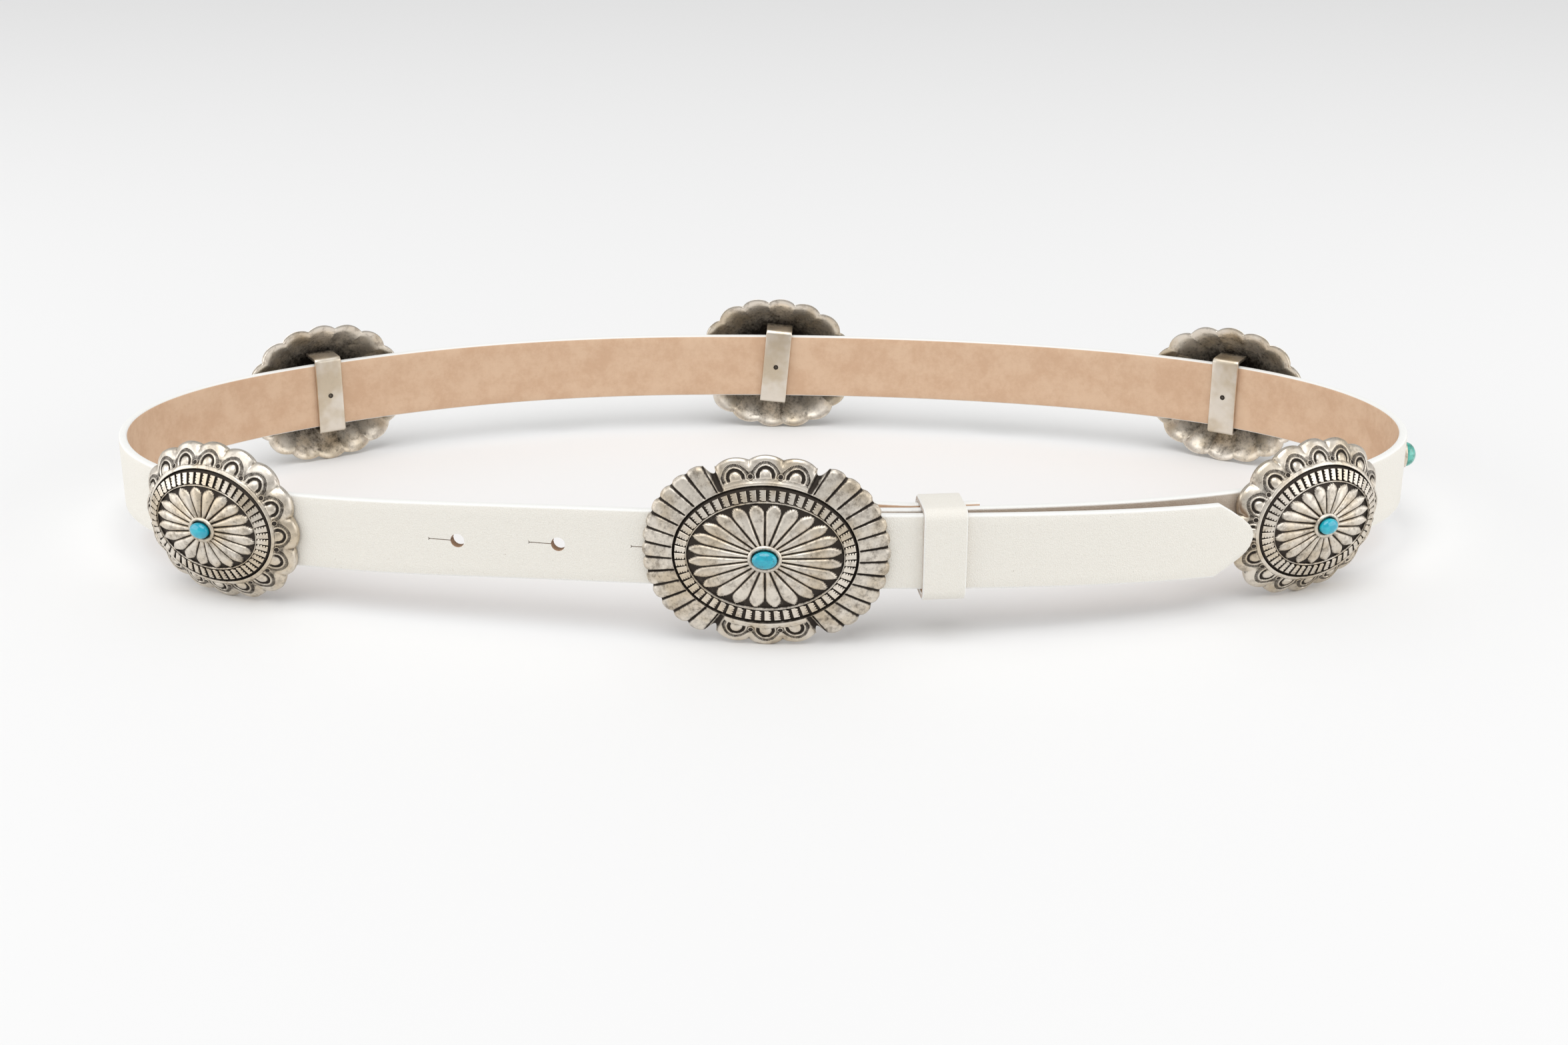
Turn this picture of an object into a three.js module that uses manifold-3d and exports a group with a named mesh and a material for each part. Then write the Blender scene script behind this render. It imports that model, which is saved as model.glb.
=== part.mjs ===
// A buckled concho belt standing on its edge: a leather strap, a cast buckle, a keeper, five cast
// conchos and four cabochon studs. Millimetres, +Z up; the buckle faces -Y and is at the front.

import * as THREE from 'three';
import { mergeVertices } from 'three/addons/utils/BufferGeometryUtils.js';
import Module from 'manifold-3d';

const wasm = await Module();
wasm.setup();

// Strap and its way round. Places along it are measured from the buckle's middle, to the right.
const GIRTH = 1113;
const STRAP_WIDTH = 25.4;
const STRAP_THICK = 3;
const STEP_LENGTH = 10;
const TIP_LENGTH = 13;
const TAIL_GAP = 7.9;
const FOLD_GAP = 1.5;
const MERGE_LENGTH = 189;
const FIT_GAP = 0.3;

// Conchos and studs along the strap.
const BUCKLE_TO_RIGHT = 192;
const BUCKLE_TO_LEFT = 185;
const LEFT_CONCHO_SLIP = 1.8;
const LEFT_STUD_SLIP = 6;
const TAIL_SHORT_OF_CONCHO = 29.6;
const TAIL_REACH = BUCKLE_TO_RIGHT - TAIL_SHORT_OF_CONCHO;

// Holes and the stud on the buckle's back that buttons into one of them.
const HOLE_COUNT = 5;
const HOLE_IN_USE = 2;
const HOLE_PITCH = 33.9;
const HOLE_BORE = 4.7;
const PEG_INSET = 6.1;
const PEG_THICK = 3.6;
const PEG_HEAD = 6;
const PEG_HEAD_THICK = 1.3;

// The bar that the strap's end folds round, and the rivet that closes the fold.
const BAR_INSET = 12.6;
const BAR_THICK = 3.2;
const BAR_LEG = 2.4;
const RIVET_THICK = 3.6;
const RIVET_HEAD = 8;
const RIVET_HEAD_THICK = 0.9;
const RIVET_PLAY = 0.5;

// Keeper ring.
const KEEPER_FROM_BUCKLE = 10;
const KEEPER_WIDTH = 14;
const KEEPER_THICK = 2.3;
const KEEPER_CORNER = 2.6;
const KEEPER_SLACK = 1.2;
const FOLD_PAST_KEEPER = 6;

// Bail: the flat strip behind each concho that holds it on the strap.
const BAIL_WIDTH = 10.5;
const BAIL_THICK = 1.4;
const BAIL_ROOM = 1.2;
const BAIL_CORNER = 0.85;

// Settings.
const SETTING_WALL = 0.9;
const SETTING_RISE = 2.3;
const SETTING_DEPTH = 1.6;
const SETTING_FLARE = 0.45;

const CONCHO = {
  length: 62.8,
  height: 54.6,
  edge: 2,
  dome: 9.4,
  domePower: 3,
  wall: 1.5,
  relief: 0.7,
  petals: 20,
  cornerBulge: 0.04,
  lobes: 16,
  lobeDepth: 1.1,
  stone: { length: 7.2, height: 5.4, dome: 2.2 },
};

const BUCKLE = {
  length: 79.2,
  height: 64.4,
  edge: 1.8,
  dome: 5.8,
  domePower: 2.4,
  wall: 1.6,
  relief: 0.7,
  petals: 24,
  ribs: 13,
  ribSpan: 120,
  ribDepth: 0.7,
  cornerBulge: 0.035,
  lobes: 3,
  lobeSpan: 50,
  lobeDepth: 1.3,
  stone: { length: 8, height: 5.7, dome: 2.2 },
};

const STUD = { base: 10, baseThick: 1.1, cup: 0.5, stone: 9, dome: 3.9 };

// How sharply the loop bends, as turns of a circle of its girth, at shares of the girth.
const BENDS = [
  { at: 0, bend: 0.6 },
  { at: 0.08, bend: 0.3 },
  { at: 0.155, bend: 0.65 },
  { at: 0.205, bend: 2 },
  { at: 0.25, bend: 3.2 },
  { at: 0.32, bend: 1.1 },
  { at: 0.41, bend: 0.38 },
  { at: 0.5, bend: 0.28 },
  { at: 0.59, bend: 0.62 },
  { at: 0.68, bend: 0.64 },
  { at: 0.75, bend: 3.35 },
  { at: 0.795, bend: 2.4 },
  { at: 0.845, bend: 0.8 },
  { at: 0.92, bend: -0.06 },
  { at: 1, bend: 0.6 },
];

// The room between the tail and the strap under it, as shares of the way to the right concho
// and of the widest gap.
const TAIL_GAPS = [
  { at: 0, gap: 0.22 },
  { at: 0.24, gap: 0.23 },
  { at: 0.36, gap: 0.42 },
  { at: 0.6, gap: 0.66 },
  { at: 0.92, gap: 1 },
];

// The tail's point: shares of its length and of the half width.
const TIP = [
  { at: 0, half: 1 },
  { at: 0.38, half: 0.76 },
  { at: 0.69, half: 0.53 },
  { at: 0.92, half: 0.26 },
  { at: 1, half: 0.08 },
];

// Rings of a medallion's face from its rim to its middle: shares of the half length and half
// height, and how many reliefs each stands over the dome.
const CONCHO_RINGS = [
  { across: 0.835, up: 0.745, relief: 0.3 },
  { across: 0.815, up: 0.718, relief: -0.9 },
  { across: 0.8, up: 0.695, relief: 0.4 },
  { across: 0.685, up: 0.55, relief: 0.4 },
  { across: 0.665, up: 0.525, relief: -0.9 },
];
const BUCKLE_RINGS = [
  { across: 0.77, up: 0.752, relief: 0.3 },
  { across: 0.752, up: 0.732, relief: -0.9 },
  { across: 0.735, up: 0.712, relief: 0.4 },
  { across: 0.645, up: 0.58, relief: 0.4 },
  { across: 0.63, up: 0.56, relief: -0.9 },
];

// Petals inside the last ring: shares of the way from it to the setting.
const PETAL_ROWS = [
  { in: 0.2, crest: 0.7, valley: -0.9 },
  { in: 0.75, crest: 0.2, valley: -0.6 },
];

// Rings of a medallion's hollow back: shares of its half sizes, and sides for each petal.
const HOLLOW_ROWS = [
  { in: 0.9, sides: 2 },
  { in: 0.62, sides: 2 },
  { in: 0.3, sides: 1 },
];

// Points on one lobe and on one rib of a rim, as shares of its span.
const LOBE_PHASES = [0, 0.2, 0.4, 0.6, 0.8];
const RIB_PHASES = [0, 0.3, 0.7];

// The stretch of a medallion's half length where its rim comes nearest to the strap.
const RIM_BAND = { from: 0.85, to: 1.05 };

// How finely round shapes and bends are cut up.
const ROUTE_STEPS = 1200;
const FOLD_TURN_STEPS = 8;
const DEPTH_SAMPLES = 8;
const DOME_ROWS = 3;
const ROUND_SIDES = 16;
const SMALL_ROUND_SIDES = 12;
const KEEPER_CORNER_SEGMENTS = 2;
const WELD_DISTANCE = 1e-4;

const leather = new THREE.MeshStandardMaterial({ color: 0xe4e2d9, roughness: 0.62, metalness: 0 });
const silver = new THREE.MeshStandardMaterial({ color: 0xb9b1a8, roughness: 0.36, metalness: 1 });
const turquoise = new THREE.MeshStandardMaterial({ color: 0x2ba3be, roughness: 0.25, metalness: 0 });
const greenTurquoise = new THREE.MeshStandardMaterial({
  color: 0x66b7a6,
  roughness: 0.3,
  metalness: 0,
});

function shareAlong(table, key, at) {
  const last = table[table.length - 1];
  if (at <= table[0].at) return table[0][key];
  if (at >= last.at) return last[key];
  const next = table.findIndex((row) => row.at > at);
  const from = table[next - 1];
  const to = table[next];
  return from[key] + ((to[key] - from[key]) * (at - from.at)) / (to.at - from.at);
}

function smooth(share) {
  const t = Math.min(Math.max(share, 0), 1);
  return t * t * (3 - 2 * t);
}

// The loop's plan: headings from the bends, summed up, with the small miss at the end spread
// along the whole way so that it closes.
const ROUTE = walkRoute();

function walkRoute() {
  const bends = [];
  for (let i = 0; i <= ROUTE_STEPS; i += 1) bends.push(shareAlong(BENDS, 'bend', i / ROUTE_STEPS));
  const turns = bends.slice(1).map((bend, i) => (bend + bends[i]) / 2);
  const fullTurn = (2 * Math.PI) / turns.reduce((sum, turn) => sum + turn, 0);
  const way = [{ x: 0, y: 0, heading: 0 }];
  const step = GIRTH / ROUTE_STEPS;
  turns.forEach((turn) => {
    const last = way[way.length - 1];
    const heading = last.heading + turn * fullTurn;
    const middle = (last.heading + heading) / 2;
    way.push({ x: last.x + step * Math.cos(middle), y: last.y + step * Math.sin(middle), heading });
  });
  const miss = { ...way[ROUTE_STEPS] };
  way.forEach((point, i) => {
    point.x -= (miss.x * i) / ROUTE_STEPS;
    point.y -= (miss.y * i) / ROUTE_STEPS;
  });
  return way;
}

// A point beside the route: `out` is the distance outward from it.
function besideRoute(along, out) {
  const steps = (((along / GIRTH) % 1) + 1) % 1 * ROUTE_STEPS;
  const before = Math.floor(steps);
  const part = steps - before;
  const from = ROUTE[before];
  const to = ROUTE[before + 1];
  const heading = from.heading + (to.heading - from.heading) * part;
  return new THREE.Vector2(
    from.x + (to.x - from.x) * part + out * Math.sin(heading),
    from.y + (to.y - from.y) * part - out * Math.cos(heading),
  );
}

// How far inside the tail's line the strap lies where it runs under the tail.
function underTail(along) {
  const apart = STRAP_THICK + TAIL_GAP * shareAlong(TAIL_GAPS, 'gap', along / BUCKLE_TO_RIGHT);
  return apart * (1 - smooth((along - BUCKLE_TO_RIGHT) / MERGE_LENGTH));
}

// Medallion outlines: the rim's reach at an angle, as a share of the ellipse.
function conchoRim() {
  const span = (2 * Math.PI) / CONCHO.lobes;
  const reach = (CONCHO.height / 2 - CONCHO.lobeDepth) / (CONCHO.height / 2);
  const rim = [];
  for (let lobe = 0; lobe < CONCHO.lobes; lobe += 1) {
    LOBE_PHASES.forEach((phase) => {
      const angle = (lobe + phase - 0.5) * span;
      const bulge = CONCHO.cornerBulge * Math.sin(2 * angle) ** 2;
      const swell = Math.sqrt(Math.sin(Math.PI * phase));
      rim.push({ angle, share: reach + bulge + (1 - reach) * swell });
    });
  }
  return rim;
}

function buckleRim() {
  const half = BUCKLE.height / 2;
  const ribSpan = THREE.MathUtils.degToRad(BUCKLE.ribSpan);
  const lobeSpan = THREE.MathUtils.degToRad(BUCKLE.lobeSpan);
  const rim = [];
  [0, Math.PI].forEach((side) => {
    for (let rib = 0; rib < BUCKLE.ribs; rib += 1) {
      RIB_PHASES.forEach((phase) => {
        const angle = side - ribSpan / 2 + ((rib + phase) * ribSpan) / BUCKLE.ribs;
        const bulge = 1 + BUCKLE.cornerBulge * Math.sin(2 * angle) ** 2;
        rim.push({ angle, share: bulge - (phase === 0 ? BUCKLE.ribDepth / half : 0) });
      });
    }
    const lobesAt = side + Math.PI / 2;
    rim.push({ angle: side + ribSpan / 2, share: 1 });
    for (let lobe = 0; lobe < BUCKLE.lobes; lobe += 1) {
      LOBE_PHASES.forEach((phase) => {
        const angle = lobesAt - lobeSpan / 2 + ((lobe + phase) * lobeSpan) / BUCKLE.lobes;
        const dip = lobe === 0 && phase === 0 ? 2 : 1;
        const swell = Math.sqrt(Math.sin(Math.PI * phase));
        rim.push({ angle, share: 1 - (dip * BUCKLE.lobeDepth * (1 - swell)) / half });
      });
    }
    rim.push({ angle: lobesAt + lobeSpan / 2, share: 1 - (2 * BUCKLE.lobeDepth) / half });
  });
  return rim;
}

// Height of a medallion's dome over its back, at a share of the way from middle to rim.
function domeRise(kind, share) {
  return kind.edge + kind.dome * (1 - Math.min(share, 1) ** kind.domePower);
}

function ringLoop(count, halfLength, halfHeight, rise) {
  const loop = [];
  for (let i = 0; i < count; i += 1) {
    const angle = (2 * Math.PI * i) / count;
    const x = halfLength * Math.cos(angle);
    const z = halfHeight * Math.sin(angle);
    loop.push({ angle, x, y: -rise(i), z });
  }
  return loop;
}

// Closes a stack of loops into a solid, each loop joined to the next and both ends capped.
function skinLoops(loops) {
  const points = [];
  const faces = [];
  const starts = loops.map((loop) => {
    const start = points.length / 3;
    loop.forEach((point) => points.push(point.x, point.y, point.z));
    return start;
  });
  for (let k = 0; k + 1 < loops.length; k += 1) {
    joinLoops(loops[k], starts[k], loops[k + 1], starts[k + 1], faces);
  }
  capLoop(loops[0], starts[0], points, faces, false);
  capLoop(loops[loops.length - 1], starts[loops.length - 1], points, faces, true);
  return solid(points, faces);
}

function joinLoops(a, startA, b, startB, faces) {
  let i = 0;
  let j = 0;
  const turned = (loop, k) => loop[k % loop.length].angle + (k >= loop.length ? 2 * Math.PI : 0);
  while (i < a.length || j < b.length) {
    const atA = startA + (i % a.length);
    const atB = startB + (j % b.length);
    const stepA = j >= b.length || (i < a.length && turned(a, i + 1) <= turned(b, j + 1));
    if (stepA) {
      faces.push(atA, startA + ((i + 1) % a.length), atB);
      i += 1;
    } else {
      faces.push(atA, startB + ((j + 1) % b.length), atB);
      j += 1;
    }
  }
}

function capLoop(loop, start, points, faces, flip) {
  const middle = points.length / 3;
  const sum = new THREE.Vector3();
  loop.forEach((point) => sum.add(new THREE.Vector3(point.x, point.y, point.z)));
  sum.divideScalar(loop.length);
  points.push(sum.x, sum.y, sum.z);
  loop.forEach((_, i) => {
    const next = start + ((i + 1) % loop.length);
    if (flip) faces.push(start + i, next, middle);
    else faces.push(next, start + i, middle);
  });
}

// Geometry and solids.
function solid(points, faces) {
  const build = (order) =>
    new wasm.Manifold(
      new wasm.Mesh({
        numProp: 3,
        vertProperties: Float32Array.from(points),
        triVerts: Uint32Array.from(order),
      }),
    );
  const made = build(faces);
  return made.volume() > 0 ? made : build(faces.map((_, i) => faces[i - (i % 3) + 2 - (i % 3)]));
}

function solidFrom(geometry) {
  const bare = geometry.clone();
  bare.deleteAttribute('normal');
  bare.deleteAttribute('uv');
  const merged = mergeVertices(bare, WELD_DISTANCE);
  return solid([...merged.attributes.position.array], [...merged.index.array]);
}

function meshOf(name, body, material) {
  const { vertProperties, triVerts } = body.getMesh();
  const geometry = new THREE.BufferGeometry();
  geometry.setAttribute('position', new THREE.BufferAttribute(vertProperties, 3));
  geometry.setIndex(new THREE.BufferAttribute(triVerts, 1));
  geometry.computeVertexNormals();
  const mesh = new THREE.Mesh(geometry, material.clone());
  mesh.name = name;
  return mesh;
}

function box(sizeX, sizeY, sizeZ, x, y, z) {
  return solidFrom(new THREE.BoxGeometry(sizeX, sizeY, sizeZ).translate(x, y, z));
}

// A round post along Y between two depths, +Y being the belt's inside.
function post(thick, fromY, toY, x, z, sides = ROUND_SIDES) {
  const geometry = new THREE.CylinderGeometry(thick / 2, thick / 2, toY - fromY, sides);
  return solidFrom(geometry.translate(x, (fromY + toY) / 2, z));
}

// Strap.
const CONCHO_DROP = lowest(conchoRim(), CONCHO);
const BUCKLE_DROP = lowest(buckleRim(), BUCKLE);

function lowest(rim, kind) {
  const heights = rim.map((point) => (point.share * kind.height * Math.sin(point.angle)) / 2);
  return -Math.min(...heights);
}

// The strap's middle rises from the conchos' height to the buckle's.
function middleHeight(along) {
  const place = ((along % GIRTH) + GIRTH) % GIRTH;
  const away = place < GIRTH / 2 ? place / BUCKLE_TO_RIGHT : (GIRTH - place) / BUCKLE_TO_LEFT;
  const share = 0.5 + 0.5 * Math.cos(Math.PI * Math.min(away, 1));
  return CONCHO_DROP + (BUCKLE_DROP - CONCHO_DROP) * share;
}

const BAR_AT = BUCKLE.length / 2 - BAR_INSET;
const PEG_AT = PEG_INSET - BUCKLE.length / 2;
const KEEPER_START = BUCKLE.length / 2 + KEEPER_FROM_BUCKLE;
const KEEPER_AT = KEEPER_START + KEEPER_WIDTH / 2;
const FOLD_END = KEEPER_START + KEEPER_WIDTH + FOLD_PAST_KEEPER;
const RIVET_AT = (BAR_AT + KEEPER_START) / 2;
const FOLD_RADIUS = BAR_THICK / 2 + FIT_GAP + STRAP_THICK / 2;

// The fold's inner layer: wide at the bar, and close to the strap from the keeper on.
function foldInset(along) {
  const closing = smooth((along - BAR_AT) / (KEEPER_START - BAR_AT));
  const apart = 2 * FOLD_RADIUS + (STRAP_THICK + FOLD_GAP - 2 * FOLD_RADIUS) * closing;
  return underTail(along) + apart;
}

// The strap's middle line, from the folded end round the bar and the loop to the tail's point.
function strapStations() {
  const stations = [];
  const add = (along, out, half = 1) => stations.push({ along, out, half });
  const foldSteps = Math.ceil((2 * (FOLD_END - BAR_AT)) / STEP_LENGTH);
  for (let i = 0; i < foldSteps; i += 1) {
    const along = FOLD_END + ((BAR_AT - FOLD_END) * i) / foldSteps;
    add(along, -foldInset(along));
  }
  for (let i = 0; i < FOLD_TURN_STEPS; i += 1) {
    const angle = (Math.PI * i) / FOLD_TURN_STEPS;
    const out = -underTail(BAR_AT) - FOLD_RADIUS - FOLD_RADIUS * Math.cos(angle);
    add(BAR_AT - FOLD_RADIUS * Math.sin(angle), out);
  }
  const tipStart = GIRTH + TAIL_REACH - TIP_LENGTH;
  const loopSteps = Math.ceil((tipStart - BAR_AT) / STEP_LENGTH);
  for (let i = 0; i < loopSteps; i += 1) {
    const along = BAR_AT + ((tipStart - BAR_AT) * i) / loopSteps;
    add(along, along < GIRTH ? -underTail(along) : 0);
  }
  TIP.forEach((row) => add(tipStart + row.at * TIP_LENGTH, 0, row.half));
  return stations;
}

function strapBody() {
  const stations = strapStations();
  const line = stations.map((station) => besideRoute(station.along, station.out));
  const loops = stations.map((station, i) => {
    const before = line[Math.max(i - 1, 0)];
    const after = line[Math.min(i + 1, line.length - 1)];
    const ahead = after.clone().sub(before).normalize();
    const aside = new THREE.Vector2(ahead.y, -ahead.x).multiplyScalar(STRAP_THICK / 2);
    const half = (STRAP_WIDTH / 2) * station.half;
    const middle = middleHeight(station.along);
    const corners = [[1, 1], [-1, 1], [-1, -1], [1, -1]];
    return corners.map(([side, end], corner) => ({
      angle: (corner * Math.PI) / 2,
      x: line[i].x + side * aside.x,
      y: line[i].y + side * aside.y,
      z: middle + end * half,
    }));
  });
  return skinLoops(loops);
}

// A frame on the strap: a matrix whose X runs along it, -Y points outward and Z up.
function frameOn(along, under) {
  const lineAt = (place) => besideRoute(place, under ? -underTail(place) : 0);
  const ahead = lineAt(along + 1).sub(lineAt(along - 1));
  const here = lineAt(along);
  const matrix = new THREE.Matrix4().makeRotationZ(Math.atan2(ahead.y, ahead.x));
  return matrix.setPosition(here.x, here.y, middleHeight(along));
}

// Depth of one face of the strap in a frame on it, over a stretch beside the frame's middle.
function strapDepths(frame, along, under, side, from, to) {
  const back = frame.clone().invert();
  const depths = [];
  for (let step = 0; step <= DEPTH_SAMPLES; step += 1) {
    [-1, 1].forEach((way) => {
      const place = along + way * (from + ((to - from) * step) / DEPTH_SAMPLES);
      const out = (under ? -underTail(place) : 0) + (side * STRAP_THICK) / 2;
      const point = besideRoute(place, out);
      depths.push(-new THREE.Vector3(point.x, point.y, 0).applyMatrix4(back).y);
    });
  }
  return depths;
}

// How far out a medallion's back lies, so that its rim clears the strap's outer face.
function rimSeat(kind, frame, along, under) {
  const half = kind.length / 2;
  const depths = strapDepths(frame, along, under, 1, half * RIM_BAND.from, half * RIM_BAND.to);
  return Math.max(...depths) + FIT_GAP;
}

// Medallions.
function medallionBody(kind, rings, rim) {
  const halfLength = kind.length / 2;
  const halfHeight = kind.height / 2;
  const setting = settingSize(kind);
  const around = 2 * kind.petals;
  const top = domeRise(kind, 0);
  const faceLoops = [
    rim.map((point) => rimPoint(point, kind, kind.edge)),
    ...rings.map((ring) => {
      const rise = domeRise(kind, (ring.across + ring.up) / 2) + ring.relief * kind.relief;
      return ringLoop(around, ring.across * halfLength, ring.up * halfHeight, () => rise);
    }),
    ...PETAL_ROWS.map((row) => {
      const field = rings[rings.length - 1];
      const across = field.across * halfLength * (1 - row.in) + (setting.length / 2) * row.in;
      const up = field.up * halfHeight * (1 - row.in) + (setting.height / 2) * row.in;
      const base = domeRise(kind, (across / halfLength + up / halfHeight) / 2);
      const rise = (i) => base + (i % 2 === 1 ? row.crest : row.valley) * kind.relief;
      return ringLoop(around, across, up, rise);
    }),
    ...settingLoops(kind, setting, top),
  ];
  const backLoops = [
    rim.map((point) => rimPoint(point, kind, 0)),
    ...HOLLOW_ROWS.map((row) => {
      const rise = domeRise(kind, row.in) - kind.wall - kind.relief;
      const count = row.sides * kind.petals;
      return ringLoop(count, row.in * halfLength, row.in * halfHeight, () => Math.max(rise, 0));
    }),
  ];
  return skinLoops([...faceLoops.reverse(), ...backLoops]);
}

function rimPoint(point, kind, rise) {
  const x = (point.share * kind.length * Math.cos(point.angle)) / 2;
  const z = (point.share * kind.height * Math.sin(point.angle)) / 2;
  return { angle: point.angle, x, y: -rise, z };
}

// The setting's outer size at its foot.
function settingSize(kind) {
  const around = 2 * (FIT_GAP + SETTING_WALL + SETTING_FLARE);
  return { length: kind.stone.length + around, height: kind.stone.height + around };
}

function settingLoops(kind, setting, top) {
  const sides = kind.petals;
  const loop = (less, rise) =>
    ringLoop(sides, setting.length / 2 - less, setting.height / 2 - less, () => rise);
  const lip = top + SETTING_RISE;
  const bore = SETTING_FLARE + SETTING_WALL;
  return [loop(0, top), loop(SETTING_FLARE, lip), loop(bore, lip), loop(bore, lip - SETTING_DEPTH)];
}

// The dome's inner side over a point behind the medallion.
function hollowRise(kind, x, z) {
  const share = Math.hypot((2 * x) / kind.length, (2 * z) / kind.height);
  return domeRise(kind, share) - kind.wall - kind.relief;
}

// A flat strip behind the strap with a leg over each of its edges up into the hollow.
function bailBody(kind, bailFace) {
  const legIn = STRAP_WIDTH / 2 + BAIL_ROOM;
  const legOut = legIn + BAIL_THICK;
  const reach = hollowRise(kind, BAIL_WIDTH / 2, legOut) + kind.wall / 2;
  const outline = new THREE.Shape();
  outline.moveTo(reach, legOut);
  outline.lineTo(bailFace - BAIL_THICK + BAIL_CORNER, legOut);
  outline.lineTo(bailFace - BAIL_THICK, legOut - BAIL_CORNER);
  outline.lineTo(bailFace - BAIL_THICK, BAIL_CORNER - legOut);
  outline.lineTo(bailFace - BAIL_THICK + BAIL_CORNER, -legOut);
  outline.lineTo(reach, -legOut);
  outline.lineTo(reach, -legIn);
  outline.lineTo(bailFace, -legIn);
  outline.lineTo(bailFace, legIn);
  outline.lineTo(reach, legIn);
  outline.closePath();
  const strip = new THREE.ExtrudeGeometry(outline, { depth: BAIL_WIDTH, bevelEnabled: false });
  const turned = new THREE.Matrix4().makeBasis(
    new THREE.Vector3(0, -1, 0),
    new THREE.Vector3(0, 0, 1),
    new THREE.Vector3(-1, 0, 0),
  );
  return solidFrom(strip.applyMatrix4(turned).translate(BAIL_WIDTH / 2, 0, 0));
}

// A cabochon with a flat foot at the origin, its dome towards -Y.
function cabochon(name, length, height, foot, dome, material) {
  const profile = [new THREE.Vector2(0, 0), new THREE.Vector2(1, 0), new THREE.Vector2(1, foot)];
  for (let row = 1; row <= DOME_ROWS; row += 1) {
    const angle = (Math.PI / 2) * (row / DOME_ROWS);
    const radius = row === DOME_ROWS ? 0 : Math.cos(angle);
    profile.push(new THREE.Vector2(radius, foot + dome * Math.sin(angle)));
  }
  const geometry = new THREE.LatheGeometry(profile, SMALL_ROUND_SIDES);
  geometry.rotateX(Math.PI);
  geometry.scale(length / 2, 1, height / 2);
  return meshOf(name, solidFrom(geometry), material);
}

function settleStone(name, kind, seat) {
  const foot = SETTING_DEPTH - FIT_GAP;
  const stone = cabochon(name, kind.stone.length, kind.stone.height, foot, kind.stone.dome, turquoise);
  const floor = domeRise(kind, 0) + SETTING_RISE - SETTING_DEPTH + FIT_GAP;
  stone.position.set(0, -seat - floor, 0);
  return stone;
}

function groupAt(frame, ...meshes) {
  const group = new THREE.Group();
  group.applyMatrix4(frame);
  group.add(...meshes);
  return group;
}

function makeConcho(name, along) {
  const under = along < GIRTH / 2;
  const frame = frameOn(along, under);
  const seat = rimSeat(CONCHO, frame, along, under);
  const inner = Math.min(...strapDepths(frame, along, under, -1, 0, BAIL_WIDTH / 2));
  const shell = medallionBody(CONCHO, CONCHO_RINGS, conchoRim());
  const body = shell.add(bailBody(CONCHO, inner - FIT_GAP - seat)).translate([0, -seat, 0]);
  return groupAt(frame, meshOf(name, body, silver), settleStone(`${name}_stone`, CONCHO, seat));
}

function makeBuckle() {
  const frame = frameOn(0, false);
  const seat = rimSeat(BUCKLE, frame, 0, false);
  const shell = medallionBody(BUCKLE, BUCKLE_RINGS, buckleRim()).translate([0, -seat, 0]);
  const barDepth = underTail(BAR_AT) + FOLD_RADIUS + localDepth(frame, BAR_AT);
  const legMiddle = STRAP_WIDTH / 2 + BAIL_ROOM + BAR_LEG / 2;
  const barLength = 2 * legMiddle + BAR_LEG;
  const barRadius = BAR_THICK / 2;
  const bar = new THREE.CylinderGeometry(barRadius, barRadius, barLength, SMALL_ROUND_SIDES);
  bar.rotateX(Math.PI / 2).translate(BAR_AT, barDepth, 0);
  const legTop = -seat - hollowRise(BUCKLE, BAR_AT, legMiddle) - BUCKLE.wall / 2;
  const legs = [-1, 1].map((side) =>
    box(BAR_LEG, barDepth - legTop, BAR_LEG, BAR_AT, (barDepth + legTop) / 2, side * legMiddle),
  );
  const pegStart = -seat - hollowRise(BUCKLE, PEG_AT, 0) - BUCKLE.wall / 2;
  const pegNeck = localDepth(frame, PEG_AT) + STRAP_THICK / 2 + 2 * FIT_GAP;
  const pegEnd = pegNeck + PEG_HEAD_THICK;
  const peg = post(PEG_THICK, pegStart, pegEnd, PEG_AT, 0, SMALL_ROUND_SIDES);
  const head = post(PEG_HEAD, pegNeck, pegEnd, PEG_AT, 0, SMALL_ROUND_SIDES);
  const body = [solidFrom(bar), ...legs, peg, head].reduce((sum, part) => sum.add(part), shell);
  const mesh = meshOf('buckle', body, silver);
  return groupAt(frame, mesh, settleStone('buckle_stone', BUCKLE, seat));
}

// How deep behind the frame's middle the route lies at a place along it.
function localDepth(frame, along) {
  const point = besideRoute(along, 0);
  return new THREE.Vector3(point.x, point.y, 0).applyMatrix4(frame.clone().invert()).y;
}

function makeStrap() {
  let body = strapBody();
  const through = STRAP_THICK * 2;
  for (let hole = 0; hole < HOLE_COUNT; hole += 1) {
    const frame = frameOn(PEG_AT + (hole - HOLE_IN_USE) * HOLE_PITCH, false);
    const bore = post(HOLE_BORE, -through / 2, through / 2, 0, 0);
    body = body.subtract(bore.transform(frame.toArray()));
  }
  const { frame, from, to } = rivetPlace();
  const boreThick = RIVET_THICK + 2 * RIVET_PLAY;
  const rivetBore = post(boreThick, from - FIT_GAP, to + FIT_GAP, 0, 0, SMALL_ROUND_SIDES);
  body = body.subtract(rivetBore.transform(frame.toArray()));
  return meshOf('strap', body, leather);
}

// Where the rivet's heads lie: just outside both layers of the fold, over the heads' whole width.
function rivetPlace() {
  const frame = frameOn(RIVET_AT, true);
  const back = frame.clone().invert();
  const depths = (inset, side) =>
    [-1, -0.5, 0, 0.5, 1].map((share) => {
      const along = RIVET_AT + (share * RIVET_HEAD) / 2;
      const point = besideRoute(along, -inset(along) + (side * STRAP_THICK) / 2);
      return new THREE.Vector3(point.x, point.y, 0).applyMatrix4(back).y;
    });
  const from = Math.min(...depths(underTail, 1)) - FIT_GAP;
  const to = Math.max(...depths(foldInset, -1)) + FIT_GAP;
  return { frame, from, to };
}

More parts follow.
